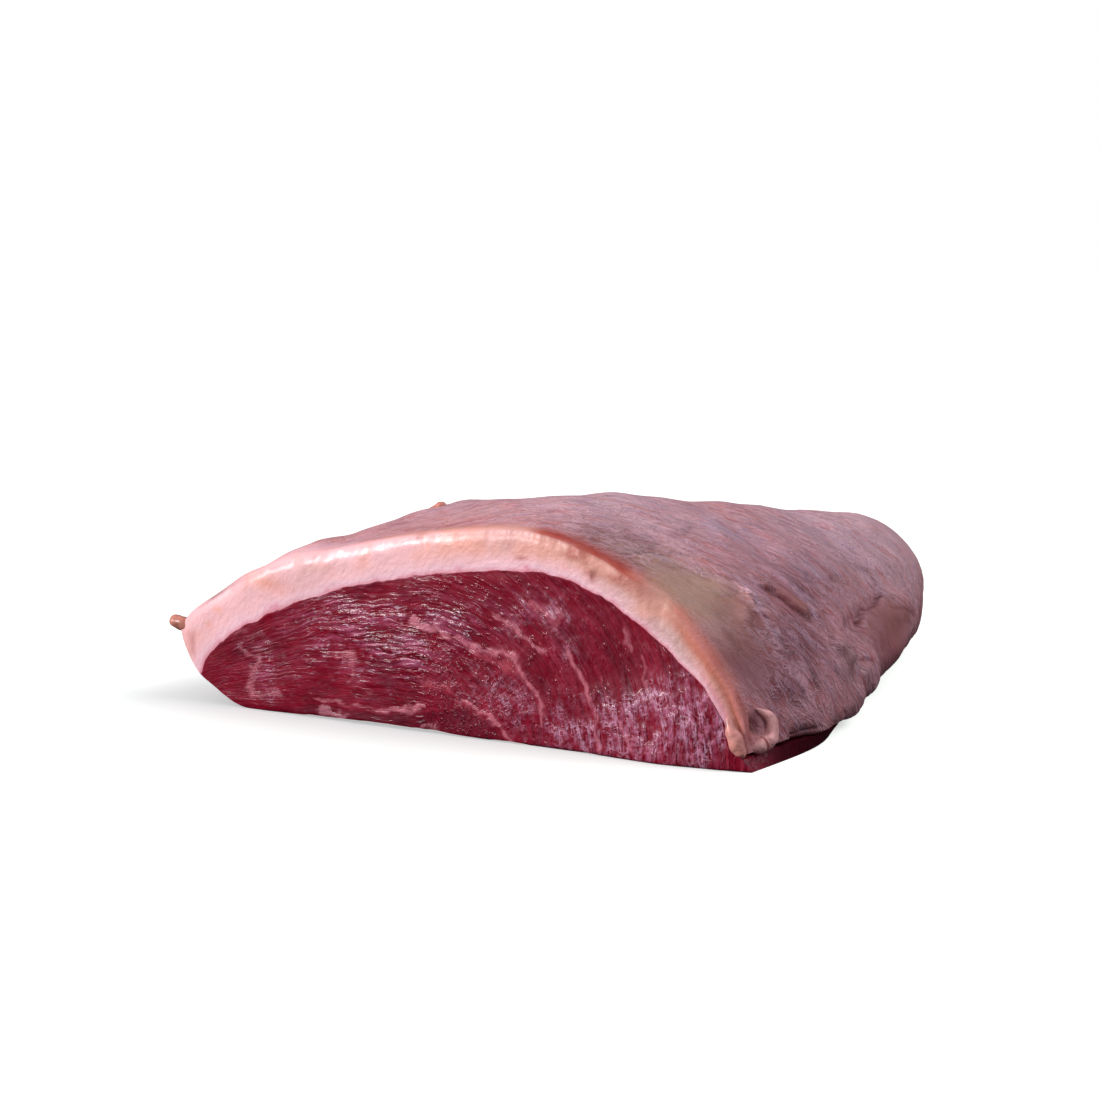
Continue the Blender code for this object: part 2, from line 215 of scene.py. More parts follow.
def dome(size, shares, bends, under=None):
    # Each section is two quarters of superellipses from the crown to the widest points,
    # shrunk by the taper towards the tip; the right side may carry on underneath
    taper = tipTaper(shares)[:, None]
    row = {k: through(shares, v)[:, None] for k, v in size.items() if isinstance(v, tuple)}
    turned = np.zeros_like(taper)
    if under:
        start = shares[:, None] * size["length"] / under["starts"]
        turned = under["angle"] * ease(start)
    angle = math.pi - (math.pi + turned) * bends[None, :]
    cosine, sine = np.cos(angle), np.sin(angle)
    power = np.where(cosine > 0, size["rightPower"], size["leftPower"])
    widest = np.where(cosine > 0, row["right"], row["left"])
    low = np.where(cosine > 0, row["rightZ"], row["leftZ"])
    x = blend(row["crownX"], widest, taper * np.abs(cosine) ** (2 / power))
    z = taper * blend(low, row["crownZ"], np.clip(sine, 0, 1) ** (2 / power))
    if under:
        tuck = under["reach"] * (1 - cosine) * taper
        underX = blend(row["crownX"], row["right"], taper) - tuck
        underZ = row["rightZ"] * taper * (1 + 0.8 * sine)
        x, z = np.where(sine < 0, underX, x), np.where(sine < 0, underZ, z)
    return sectionPoints(shares, size["length"], x, z)


def outward(grid):
    # Unit normals of a grid, from the directions of its columns and rows
    normal = np.cross(np.gradient(grid, axis=1), np.gradient(grid, axis=0))
    return normal / np.maximum(np.linalg.norm(normal, axis=-1, keepdims=True), 1e-9)


def evenPlaces(count, places, steps):
    # Places that are as many steps apart as each other
    travelled = np.concatenate([[0], np.cumsum(steps)])
    return np.interp(np.linspace(0, travelled[-1], count), travelled, places)


def spreadShares(count, length, frontStep, backStep, grows):
    # Shares of the length whose steps grow from the cut on, counted along a line that
    # runs back and then falls to the tip
    s = 1 - np.linspace(1, 0, 6001) ** 2
    step = np.hypot(length * np.diff(s), wholePiece["tipFall"] * np.diff(tipTaper(s)))
    middle = (s[1:] + s[:-1]) / 2
    size = blend(frontStep, backStep, ease(middle * length / grows))
    shares = evenPlaces(count, s, step / size)
    shares[0], shares[-1] = 0, 1
    return shares


def spreadBends(count, size, leftStep, rightStep, under=None):
    # Places round a section whose steps shrink from the left edge to the right
    bends = np.linspace(0, 1, 4001)
    section = dome(size, np.array([0.3]), bends, under)[0]
    step = np.linalg.norm(np.diff(section, axis=0), axis=1)
    middle = (bends[1:] + bends[:-1]) / 2
    return evenPlaces(count, bends, step / blend(leftStep, rightStep, middle))


def tone(red, green, blue):
    # A screen colour from 0 to 255 as the linear colour that materials use
    share = np.array([red, green, blue]) / 255
    return np.where(share <= 0.04045, share / 12.92, ((share + 0.055) / 1.055) ** 2.4)


def grid(points, turned=False, **fields):
    # Rows and columns of points, with fields that materials read
    return {"points": points, "turned": turned, "fields": fields}


def thinned(points, step):
    # Moves inner points onto every few-th neighbour: where they meet they are welded,
    # which leaves a coarser surface with the same edges
    rows, columns = (np.arange(n) // step * step for n in points.shape[:2])
    rows = np.clip(rows, step, points.shape[0] - 1 - step)
    columns = np.clip(columns, step, points.shape[1] - 1 - step)
    moved = points.copy()
    moved[1:-1, 1:-1] = points[rows[1:-1, None], columns[None, 1:-1]]
    return moved


def placed(name, data):
    # An object in the scene, at the origin
    item = bpy.data.objects.new(name, data)
    bpy.context.scene.collection.objects.link(item)
    return item


def makePiece(name, grids, material, node):
    # Joins grids into one mesh of triangles, welds points that coincide and keeps the
    # fields as attributes; a turned grid has its faces the other way round
    points, faces, fields, first = [], [], {}, 0
    names = sorted({key for g in grids for key in g["fields"]})
    for g in grids:
        rows, columns = g["points"].shape[:2]
        index = first + np.arange(rows * columns).reshape(rows, columns)
        a, b, c, d = index[:-1, :-1], index[:-1, 1:], index[1:, 1:], index[1:, :-1]
        if g["turned"]:
            a, b, c, d = d, c, b, a
        faces.append(np.stack([a, b, c, a, c, d], -1).reshape(-1, 3))
        points.append(g["points"].reshape(-1, 3))
        first += rows * columns
    for key in names:
        width = max(np.ndim(g["fields"].get(key, 0)) for g in grids) == 3
        values = []
        for g in grids:
            shape = g["points"].shape if width else g["points"].shape[:2]
            values.append(np.broadcast_to(g["fields"].get(key, 0.0), shape).reshape(-1, *shape[2:]))
        fields[key] = np.concatenate(values)
    points, faces = np.concatenate(points), np.concatenate(faces)
    places = np.round(points * 1e4).astype(np.int64)
    _, kept, order = np.unique(places, axis=0, return_index=True, return_inverse=True)
    a, b, c = order.reshape(-1)[faces].T
    whole = (a != b) & (b != c) & (c != a)
    triangles = np.stack([a, b, c], -1)[whole]
    mesh = bpy.data.meshes.new(name)
    mesh.from_pydata(points[kept] * mm, [], triangles)
    for key, values in fields.items():
        kind = "FLOAT_VECTOR" if values.ndim == 2 else "FLOAT"
        attribute = mesh.attributes.new(key, kind, "POINT")
        store = "vector" if values.ndim == 2 else "value"
        attribute.data.foreach_set(store, values[kept].astype(np.float32).ravel())
    mesh.shade_smooth()
    mesh.set_sharp_from_angle(angle=sharpAngle)
    mesh.materials.append(material)
    piece = placed(name, mesh)
    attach(piece, "root")
    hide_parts(node)
    print(f"{name}: {len(triangles)} triangles")
    return piece


# The fat's outline, at six sections evenly spaced from the cut to the tip
fatCoat = {
    "length": 205,
    "right": (85.2, 91.3, 82.6, 74.5, 69.2, 59),
    "left": (-92, -88, -79, -64, -42, -12),
    "crownX": (19, 11, 18, 30, 39, 34),
    "crownZ": (55.9, 59.4, 55.4, 50.5, 52, 57),
    "rightZ": (4.2, 8, 11, 15.2, 24, 24.8),
    "leftZ": (20, 19, 18, 16, 14, 12),
    "rightPower": 1.72,
    "leftPower": 1.50,
}
fatUnder = {"reach": 8, "angle": math.radians(60), "starts": 80.0}
fatEdges = {
    "cutRadius": 3,
    "cutDrop": 1.4,
    "leftRim": 0.08,
    "rightRim": 0.10,
    "lowest": 0.3,
    "cutRounding": 0.8,
    "cutUneven": (0.9, 11.0),  # how much the rounding varies, and over what length
    "cutWidthUneven": (0.8, 7.0),
    "cutSteepness": 0.6,
    "cutGrowth": 0.9,  # how much wider and deeper it gets on the right
    "cutGrowthX": (48, 20),
    "cutRoundWidth": 1.4,
    "cutRelief": 0.22,
    "skinFade": 0.55,  # of the membrane, far back and far left
    "seamWaver": 0.5,
    "seamWaverLength": 5.0,
    "seamOutwards": 1.3,  # low on the right
    "seamLowX": 77,
    "seamLowWidth": 9,
    "seamFade": 6.0,
    "inset": 0.15,  # the surface starts this far inside the solid's
    "fibreTurn": math.radians(38),
}
fatMesh = {
    "rows": 296,
    "columns": 284,
    "steps": (0.40, 0.84, 16.0),  # between rows at the cut and far back, and where they stop growing
    "bendSteps": (0.95, 0.52),  # between columns, shares of each other, on the left and the right
    "rimSteps": 12,
    "innerStep": 7,
    "rimColumns": 10,  # of the cut's end, over which it gives way to the rims
}
fatFolds = (
    # path, width, height; a groove has a height below zero
    (((69, -47, 38), (73, -45, 35), (77, -45, 31)), 5, 2.4),
    (((67, -62, 40), (72, -58, 37), (78, -54, 31)), 2.4, -1.4),
    (((71, -70, 37), (80, -72, 28), (87, -68, 20)), 2.6, 1.2),
    (((79, -25, 24), (75, -4, 25), (71, 16, 27)), 2.6, -1.8),
    (((87, -84, 14), (89, -77, 14)), 2.4, -1.4),
    (((58, -20, 45), (66, 10, 35), (64, 45, 31)), 6, 1.4),
    (((20, -40, 58), (34, 0, 51), (40, 45, 46)), 7, 0.4),
    (((-69, -95, 36), (-48, -78, 47), (-29, -58, 53)), 13, 1.4),
    (((-30, -50, 50), (-14, 0, 47), (10, 50, 43)), 8, 1.2),
    (((-70, -30, 30), (-45, 30, 28), (-10, 80, 22)), 6, 1.4),
)
fatPads = (
    # centre, radii, height; a dip has a height below zero
    ((73, 14, 18), (13, 34, 9), 3.1),
    ((85, -44, 20), (6, 7, 6), 2),
    ((83, -23, 13), (6, 9, 5.5), 2),
    ((62, -84, 40), (18, 18, 14), 0.9),
    ((-56, -88, 43), (9, 12, 7), 0.9),
    ((-33, -58, 51), (12, 14, 8), 1.1),
    ((34, 38, 48), (16, 26, 10), -1),
    ((52, 70, 32), (16, 22, 13), 1.6),
    ((-70, 0, 24), (14, 30, 9), 2),
    ((0, 70, 30), (22, 20, 12), 1.6),
)
fatSwells = (
    # wavelength along X, Y and Z, phase, height
    (61, 47, 90, 0.4, 0.3),
    (33, 71, 50, 2.1, 0.2),
    (26, 23, 31, 4, 0.2),
)
swellsStart = 30.0  # behind the cut
fatLips = (
    # folds that drop steeply, higher on the left of the path: path, width, height, depth
    (
        (
            *((67.2, -60.5, 38.9), (69.9, -56.8, 37.2), (73.6, -54.1, 34.3)),
            *((76.9, -51.7, 31.2), (79.8, -50.3, 29)),
        ),
        *(1.9, 1.4, 0.6),
    ),
    (
        ((83.1, -74.1, 25.7), (78.2, -74.5, 31.5), (75, -73.3, 35.2), (72.6, -72.5, 37.7), (67, -67.2, 41.2)),
        *(1.2, 0.85, 0.6),
    ),
    (((76.4, -87.5, 28.6), (76, -82, 31.1), (74.1, -76.1, 35), (70.5, -75.3, 38.4)), 2.2, 0.9, 0.3),
    (
        ((67.5, 17.5, 27.8), (70.1, 11.9, 25.8), (73.3, 1.2, 24.6), (73.8, -8.4, 24.9), (75.8, -16.5, 22.4)),
        *(2.2, 1.5, 0.9),
    ),
    (((73.6, 6, 24), (74.9, 12.8, 22.8), (74.5, 19.2, 21.9), (74.1, 34, 18.6)), 2.6, 0.4, 0.1),
    (((80.5, -44, 27.4), (84.3, -47.2, 24.4), (85.7, -39.9, 20.4), (83.7, -29.7, 17.5)), 2, 0.7, 1),
    (((84.6, -22, 14), (85.2, -27.4, 15.8), (84.8, -31, 16.7), (86.7, -40.7, 18.5)), 2.6, 1, 1.3),
    (((48, -48, 50), (56, -41, 47), (62, -33, 43)), 2.2, 0.5, 0.5),
    (((60, -38, 44), (66, -29, 39), (71, -21, 35), (75, -15, 31)), 2, 0.5, 0.6),
    (((58, 6, 40), (64, 15, 35), (68, 21, 31)), 2.2, 0.5, 0.6),
)
# Paths that both the relief and the tones follow
ridgePath = ((69.6, -50.3, 40.4), (74, -48.3, 36.5), (78.4, -47.9, 32.1))
nickPath = ((80.2, -76.1, 28.5), (81.1, -78.9, 26.2))
toePath = ((88.2, -82, 6.2), (89.7, -77.3, 6), (90.4, -72.5, 5.4))
fatCreases = (
    # ridges and, with a height below zero, creases: path, width, height
    (ridgePath, 1.2, 0.35),
    (((74.9, -35, 31), (76.3, -33.7, 29.4), (78.5, -34.6, 26.9)), 1, 0.5),
    (((70.2, 14.5, 26.4), (71.4, 24, 25.8), (71, 37, 23)), 0.9, -0.2),
    (((66.8, -12.6, 35.2), (67.9, -6.6, 33.5)), 1.2, -0.7),
    (((66.9, -80.5, 39.9), (68.5, -79.3, 39), (68.9, -76.9, 39.3)), 0.8, -0.5),
    (((47.4, -86.8, 49.9), (47.1, -78.4, 50.1), (46.1, -72, 50.9)), 0.9, -0.5),
    (((46, -66, 51), (47, -60, 51), (44, -52, 52)), 1, -0.6),
    (((85.9, -81.4, 13.5), (87.2, -77.9, 13.3), (88.3, -74.8, 15.2)), 0.9, -0.9),
    (toePath, 0.9, -1.2),
    (nickPath, 1.2, -0.4),
    (((82.6, -98.8, 14), (83.6, -99.3, 11), (84.4, -99.4, 8.2), (85, -99.3, 6.6)), 0.8, -0.5),
)
fatPits = (
    # centre, radius, depth; a small lump has a depth below zero
    ((87.9, -70.1, 19.6), 1.3, 2),
    ((89.2, -68.8, 16.4), 1.1, 1.6),
    ((90.7, -70.9, 11.3), 1.2, 1.7),
    ((85.7, -48.3, 23), 2.1, -2),
    ((87.2, -45, 20), 2.3, -2),
    ((85.2, -33, 13.7), 2.4, -1.4),
    ((42, -101, 46.3), 0.9, 1),
    ((85.3, -96.2, 11), 2, 2.4),
)
fatSmooth = (
    # centre, radii, amount
    ((64, -91, 41), (17, 12, 12), 0.9),
    ((78, -89, 27), (10, 11, 12), 0.95),
    ((69, -82, 38), (10, 9, 9), 0.95),
    ((77, 5, 17), (9, 25, 10), 1),
    ((40, -99, 52), (40, 6, 12), 0.7),
    ((85, -95, 9), (5, 5, 8), 0.6),
    ((73.5, -54, 35), (7, 4, 6), 0.8),
    ((87, -45, 21), (5, 5, 5), 0.7),
)
fatStrands = (
    # strands that stand off the coat: path, radii along it, tone
    (
        ((79.4, -101.2, 14.6), (81, -101.8, 10.8), (82.4, -101.9, 7.6), (83.5, -101.6, 4.9), (84.2, -101, 3)),
        *((0.4, 1.3, 2, 1.7, 1), "blob"),
    ),
    (((-82.6, -97.2, 19.6), (-88.2, -98.2, 20.3), (-95.4, -99.2, 22.1)), (1.5, 1.6, 1.9, 2.3), "tag"),
    (((-36.5, -60.8, 49.4), (-32.5, -60.2, 52.2), (-28.8, -60, 54.4)), (1.2, 1.6, 1.8), "tag"),
    (
        (
            *((84.2, -94.5, 14.6), (86, -91.6, 12.6), (86.9, -90.6, 10)),
            *((87, -91.6, 7.2), (86.3, -94.6, 5.6), (84.9, -98.4, 5.2)),
        ),
        *((0.6, 1.5, 2, 2.2, 2), "curl"),
    ),
)
fatTrims = (
    # centre, radii, height: small corrections of the outline
    ((-52, -97, 44), (9, 20, 8), 1),
    ((-76, -101, 30), (9, 14, 8), -0.8),
    ((33, 24, 46), (18, 16, 8), 1.1),
    ((85, -32, 7), (8, 14, 7), 2.2),
    ((78, 6, 10), (8, 24, 6), 1.4),
    ((73.5, 22, 22), (5, 11, 4), 0.9),
)


def coatRelief(points):
    # The folds, pads and swells that the solid has too, and its drop at the cut's edge
    height = np.zeros(points.shape[:-1])
    for path, width, rise in fatFolds:
        height += rise * nearPath(points, path, width)
    for centre, radii, rise in fatPads:
        height += rise * np.exp(-(reachFrom(points, centre, radii) ** 4))
    behind = points[..., 1] - wholePiece["frontY"]
    for longX, longY, longZ, phase, rise in fatSwells:
        turn = points[..., 0] / longX + points[..., 1] / longY + points[..., 2] / longZ
        height += rise * np.sin(math.tau * turn + phase) * ease(behind / swellsStart)
    near = np.clip(1 - behindCut(points) / fatEdges["cutRadius"], 0, 1)
    return height - fatEdges["cutDrop"] * (1 - np.sqrt(1 - near**2))


fatRelief = {
    "wander": 0.7,
    "wrinkleWander": 2.5,
    "wrinkleStretch": (11.0, 4.4, 30.0),
    "wrinkles": (0.09, 0.20),  # heights on the left and on the right
    "lumps": (0.10, 0.34),
    "grain": (0.05, 0.10, 0.12),  # everywhere, more on the right, and more far back there
    "calm": 0.85,
}


def coatDetail(points, away, flow, behind, calm):
    # Fine relief: wrinkles of the membrane along the flow, lumps, folds, creases and pits
    r = fatRelief
    wander = noiseVector(points, 9.0, 2, 11)
    bent = points + r["wander"] * wander
    folded = noise(flow + r["wrinkleWander"] * wander, r["wrinkleStretch"], 3, 41)
    wrinkles = 1 - np.abs(folded) * 2.2
    lumps = noise(points, 12.0, 3, 51)
    side = ramp(points[..., 0], 50, 22)
    rough = ramp(points[..., 0], 66, 12) * ramp(behind, 22, 12)
    grain = noise(bent, 4.0, 3, 61)
    everywhere, right, back = r["grain"]
    height = blend(*r["wrinkles"], side) * (wrinkles - 0.6) * ease(behind / 14)
    height += blend(*r["lumps"], side) * lumps * ease(behind / 10)
    height += grain * (everywhere + right * side + back * rough) * ramp(behind, -1, 8)
    height *= 1 - r["calm"] * calm
    for path, width, rise, depth in fatLips:
        beside, fade = besidePath(bent, away, path, 3.5)
        roll = np.exp(-((beside / width - 0.7) ** 2)) * ramp(beside, -0.5, 1.0)
        height += (rise * roll - depth * np.exp(-((beside / 0.7) ** 2))) * fade
    for path, width, rise in fatCreases:
        height += rise * nearPath(bent, path, width)
    for centre, radii, rise in fatTrims:
        height += rise * np.exp(-(reachFrom(points, centre, radii) ** 3))
    for centre, radius, depth in fatPits:
        reach = np.linalg.norm(points + 0.3 * wander - np.array(centre), axis=-1) / radius
        height -= depth * np.exp(-(reach**3))
    return height


def smoothSpots(points):
    # Where the coat has no membrane over it and is smooth
    bent = points + 2.0 * noise(points, 8.0, 2, 231)[..., None]
    calm = np.zeros(points.shape[:-1])
    for centre, radii, amount in fatSmooth:
        calm = np.maximum(calm, amount * np.exp(-(reachFrom(bent, centre, radii) ** 5)))
    return calm


def turnedFlow(aside, back):
    # Coordinates on the coat, turned so that the first runs along the fibres
    turn = fatEdges["fibreTurn"]
    along = aside * math.cos(turn) + back * math.sin(turn)
    across = back * math.cos(turn) - aside * math.sin(turn)
    return np.stack([along, across, 0 * along], -1)


def gridDistance(points, axis):
    # Distance along a grid's rows or columns, from the first point of each
    step = np.linalg.norm(np.diff(points, axis=axis), axis=-1)
    start = np.zeros_like(np.take(step, [0], axis))
    return np.concatenate([start, np.cumsum(step, axis)], axis)


def raggedSeam(inner, shares, length):
    # Near the cut the seam of fat and lean wavers, and lies further out low on the right
    e = fatEdges
    behind = shares[:, None] * length
    low = np.exp(-(((inner[..., 0] - e["seamLowX"]) / e["seamLowWidth"]) ** 2))
    outwards = e["seamOutwards"] * (low * ease(inner[..., 2] / e["seamLowWidth"]))
    waver = e["seamWaver"] * noise(inner, e["seamWaverLength"], 3, 201) + outwards
    waver = waver * np.exp(-behind / e["seamFade"])
    waver[:, :1], waver[:, -1:] = 0, 0
    return inner + outward(inner) * waver[..., None]


def cutRounding(points, distance):
    # How far the cut's outer edge is rounded back at a distance from it; it varies
    # along the edge
    e = fatEdges
    along = onCut(points[..., 0], 0 * points[..., 0])
    change, length = e["cutUneven"]
    uneven = 1 + change * noise(along, length, 4, 241)
    change, length = e["cutWidthUneven"]
    width = e["cutRoundWidth"] * np.clip(1 + change * noise(along, length, 3, 251), 0.4, 2)
    depth = np.minimum(e["cutRounding"] * np.clip(uneven, 0.2, 2), e["cutSteepness"] * width)
    grown = 1 + e["cutGrowth"] * ramp(points[..., 0], *e["cutGrowthX"])
    return depth * grown * np.exp(-((distance / (width * grown)) ** 1.5))


def strandGrid(path, radii, sides=16, rings=26):
    # A tube with rounded ends carried along a path, its girth uneven
    share = 0.5 - 0.5 * np.cos(np.linspace(0, math.pi, rings))
    centre = through(share, path)
    run = np.gradient(centre, axis=0)
    run /= np.linalg.norm(run, axis=1, keepdims=True)
    across = np.cross(run, (0.3, 0.9, 0.3))
    across /= np.linalg.norm(across, axis=1, keepdims=True)
    over = np.cross(across, run)
    turn = np.linspace(0, math.tau, sides + 1)[None, :, None]
    ring = np.cos(turn) * across[:, None] + np.sin(turn) * over[:, None]
    ring[:, -1] = ring[:, 0]
    size = (through(share, radii) * np.sqrt(1 - np.abs(2 * share - 1) ** 5))[:, None, None]
    uneven = 1 + 0.2 * noise(centre[:, None] + ring * size, 2.6, 2, 211)[..., None]
    return centre[:, None] + ring * size * uneven


def rimShares(steps):
    # Shares of the way inwards, closer together at the outer edge
    return (np.linspace(0, 1, steps + 1) ** 1.5)[:, None, None]


def rimGrid(outerLine, innerLine, rounding, steps):
    # Lines from an outer to an inner edge, pushed out as a parabola into a rounded rim
    run = innerLine - outerLine
    side = np.stack([run[:, 2], 0 * run[:, 1], -run[:, 0]], -1) * rounding
    share = rimShares(steps)
    return outerLine + run * share + side * 4 * share * (1 - share)


# The lean's outline; its dome is also the fat's inner side
leanBeef = {
    "length": 196,
    "right": (81.3, 86.2, 74.3, 66.4, 60.6, 50),
    "left": (-83.4, -80, -70.5, -55.5, -34, -5),
    "crownX": (26.5, 18, 22, 31, 39, 35),
    "crownZ": (45.3, 48.7, 44.7, 40, 41.5, 46),
    "rightZ": (4.2, 4.1, 2.8, 4.1, 7, 7),
    "leftZ": (7.8, 8.4, 8.5, 7.5, 6.5, 5),
    "rightPower": 1.52,
    "leftPower": 1.65,
}
leanUnder = {
    # where it rests, and the foot that shows below the fat on the right
    "contactLeft": (-67.0, -63.0, -54.0, -39.0, -18.0, 8.0),
    "contactRight": (87.2, 87.6, 75.2, 66.4, 59.8, 49.0),
    "slantPower": 1.45,
    "footInset": 0.8,
    "footDrop": 1.3,
    "footEnds": 0.62,
    "footFade": 0.20,
    "frontLift": 1.0,
    "liftX": -22.0,
    "liftWidth": 28.0,
    "liftDepth": 12.0,
    "unevenness": 0.5,  # of the cut's lower edge
    "unevenDepth": 5.0,
    "edgeHeight": 1.6,
    "edgeRounding": 0.8,
    "reliefLimit": 0.9,
}
leanMesh = {
    # rows of the face, sections along the length, and columns of each part of the base
    "faceRows": 116,
    "stations": 50,
    "slant": 56,
    "across": 300,
    "foot": 36,
    "shelf": 28,
    "steps": (0.5, 8.0, 90.0),  # between sections at the cut and far back, and where they stop growing
}
leanVeins = (
    # path across the cut (X, Z), width, strength, redness
    (((-11.2, 29.2), (-6.8, 27), (-4.3, 27.4)), 1.5, 0.9, 0.1),
    (((-6.8, 27), (0.4, 26.2), (8.6, 23.6), (17.1, 23.3), (21.4, 19.5)), 0.9, 0.8, 0.3),
    (((17.1, 23.3), (21.4, 19.5), (25.5, 14.7), (27.9, 10.2), (28.2, 5.5)), 0.8, 0.7, 0.3),
    (((8.8, 22.8), (14.4, 20.9), (20, 19.2)), 1.8, 0.6, 0.8),
    (((13.5, 23.4), (18.5, 23.3), (20.5, 20.5)), 1.2, 0.7, 0.4),
    (((12.6, 32.8), (16.3, 31.8), (19.6, 30.3), (22.3, 28.2), (25, 25.8), (28.5, 24.6)), 0.8, 0.65, 0.2),
    (((24.5, 37), (27.5, 35), (30.5, 33)), 2.6, 0.55, 0.6),
    (((31, 36), (33.5, 35)), 1.4, 0.45, 0.2),
    (((34.7, 26.2), (36.2, 23.8), (38.5, 20.4), (40.9, 16), (42.6, 13)), 0.7, 0.75, 0.3),
    (((42.6, 13), (44.1, 9.8), (44.1, 6.7), (45, 3.2), (45.6, 0.2)), 0.7, 0.6, 0.3),
    (((51.2, 32.3), (52.4, 29.1), (53.8, 27.5)), 0.9, 0.5, 0.2),
    (((56.4, 25.7), (57, 23.4), (58.1, 20), (59.6, 17.1), (59.9, 15.6)), 0.7, 0.55, 0.4),
    (((-44, 5), (-37, 5.2), (-31.9, 4.2), (-29.3, 5.3), (-23.2, 4)), 0.7, 0.5, 0.5),
    (((-23.2, 4), (-16.1, 4.8), (-11.4, 5.8), (-7.9, 6.7)), 0.9, 0.75, 0.3),
    (((-9, 13.5), (-1.6, 12.5), (1.2, 11.4), (4, 10), (6.4, 8.2)), 1.3, 0.5, 0.8),
    (((4, 10), (8.6, 7.1), (11.9, 6.4), (14.4, 4.8), (16.2, 2.6), (18, 0.7)), 0.7, 0.75, 0.4),
    (((-63.4, 14.3), (-63.8, 11.8), (-65.5, 9.1), (-66.6, 5.9), (-64.6, 3.9)), 1.3, 0.55, 0.3),
    (((-66.6, 5.9), (-64.6, 3.9), (-59.8, 5.2), (-55.1, 5.4)), 1.2, 0.5, 0.4),
    (((-69.5, 16.8), (-67.8, 15.3), (-62.3, 14.4)), 0.9, 0.45, 0.3),
    (((-71.1, 20.9), (-66.3, 21.8)), 0.8, 0.35, 0.2),
    (((-35, 17), (-30.7, 19), (-31.8, 15.7), (-31.8, 12.4)), 1.5, 0.55, 0.5),
    (((-42, 2), (-38, 1.5), (-34, 1.2)), 1.3, 1, 0),
    (((-8.6, 1.5), (-4.2, 1.2)), 1, 0.6, 0.2),
    (((45, 20), (47, 15), (48.5, 9)), 0.6, 0.35, 0.6),
    (((52, 8), (53.5, 4.5), (55, 2.5)), 0.9, 0.45, 0.2),
    (((33, 16), (34.5, 10), (34, 4)), 0.6, 0.3, 0.5),
)
leanWet = (
    # centre (X, Z), width, height, amount
    (-20, 24, 19, 12, 0.85),
    (-40, 26, 16, 9, 0.4),
    (-62, 12, 12, 9, 0.35),
    (4, 30, 10, 5, 0.6),
    (28, 35, 10, 5, 0.75),
    (33, 26, 6, 5, 0.3),
    (50, 5, 22, 7, 0.75),
    (62, 12, 12, 8, 0.9),
    (74, 14, 6, 10, 1.4),
    (16, 12, 14, 8, 0.35),
)
# Painted shade: a darker strip along the cut's lower edge
leanShadeStrip = (  # X and height of the dark strip low on the cut
    (-60, -44, -23, -8, 4, 11, 18),
    (0, 4.5, 3.8, 6, 8, 6, 0),
)
leanGrain = {"turnX": -7.6, "turnZ": -3.5, "turnRadius": 30.0, "archWidth": 76.0, "archFall": 0.55}
leanRelief = {
    # heights and lengths of the cut's relief; of two heights the wet adds the second
    "leftFrom": 8,
    "leftWidth": 26,
    "swell": 0.35,
    "swellLength": 17.0,
    "wrinkles": (0.03, 0.09),
    "wrinklesOnRight": 0.03,
    "wrinkleStretch": (11.0, 3.0, 9.0),
    "pleats": (0.02, 0.10),
    "pleatsOnLeft": 0.01,
    "pleatStretch": (3.2, 8.0, 9.0),
    "pits": (0.02, 0.04),
    "pitLength": 3.5,
    "leastWet": 0.06,
    "mostWet": 1.2,
    "wetPatches": 1.1,
    "patchLength": 8.0,
    "veinBend": 1.1,
    "veinBendLength": 5.0,
    "veinGirth": 1.1,
    "girthChange": 0.7,
    "girthLength": 3.0,
}


def grainField(x, z, behind):
    # Fibre coordinates on the cut: they run level on the left, bending down with the
    # dome, and round a low centre in arcs on the right
    g = leanGrain
    sideways = x - g["turnX"]
    rightward = np.maximum(sideways, 0)
    leftward = np.minimum(sideways, 0)
    height = z - g["turnZ"]
    arch = 1 - g["archFall"] * (leftward / g["archWidth"]) ** 2
    across = np.sqrt(rightward**2 + (height / arch) ** 2)
    along = leftward + g["turnRadius"] * np.arctan2(rightward, np.maximum(height, 0.5))
    return np.stack([along, across, behind + 0 * across], -1)


def faceRelief(x, z):
    # Relief of the cut: low swells, wet wrinkles along the fibres on the left and
    # pleats across them on the right, and small pits
    r = leanRelief
    spot, flow = onCut(x, z), grainField(x, z, 0)
    left = ease((r["leftFrom"] - x) / r["leftWidth"])
    wet = wetField(x, z)
    high = {k: r[k][0] + r[k][1] * wet for k in ("wrinkles", "pleats", "pits")}
    swell = r["swell"] * noise(spot, r["swellLength"], 3, 71)
    wrinkles = blend(r["wrinklesOnRight"], high["wrinkles"], left)
    wrinkles = noise(flow, r["wrinkleStretch"], 2, 81) * wrinkles
    pleats = noise(flow, r["pleatStretch"], 2, 91) * blend(high["pleats"], r["pleatsOnLeft"], left)
    pits = noise(spot, r["pitLength"], 2, 101) * high["pits"]
    return swell + wrinkles + pleats + pits


def wetField(x, z):
    # Where the cut is wettest and most wrinkled, which is where the painted sheen and highlights go: soft
    # spots over a low level
    r = leanRelief
    wet = r["leastWet"] + 0 * x
    for centreX, centreZ, width, height, amount in leanWet:
        wet += amount * np.exp(-(((x - centreX) / width) ** 2) - ((z - centreZ) / height) ** 2)
    patches = 1 + r["wetPatches"] * noise(onCut(x, z), r["patchLength"], 3, 191)
    return np.clip(wet * patches, 0, r["mostWet"])


def veinFields(x, z):
    # How much of a vein shows at each place of the cut, and how red it is
    r, spot = leanRelief, onCut(x, z)
    bent = np.stack([x, z], -1) + r["veinBend"] * noiseVector(spot, r["veinBendLength"], 3, 111, 2)
    girth = 1 + r["girthChange"] * noise(spot, r["girthLength"], 3, 321)
    vein, red = np.zeros(x.shape), np.zeros(x.shape)
    for path, width, strength, redness in leanVeins:
        reach = pathDistance(bent, path) / (r["veinGirth"] * width * np.clip(girth, 0.3, 2))
        here = strength * np.exp(-(reach**2))
        red = np.where(here > vein, redness, red)
        vein = np.maximum(vein, here)
    return vein, red


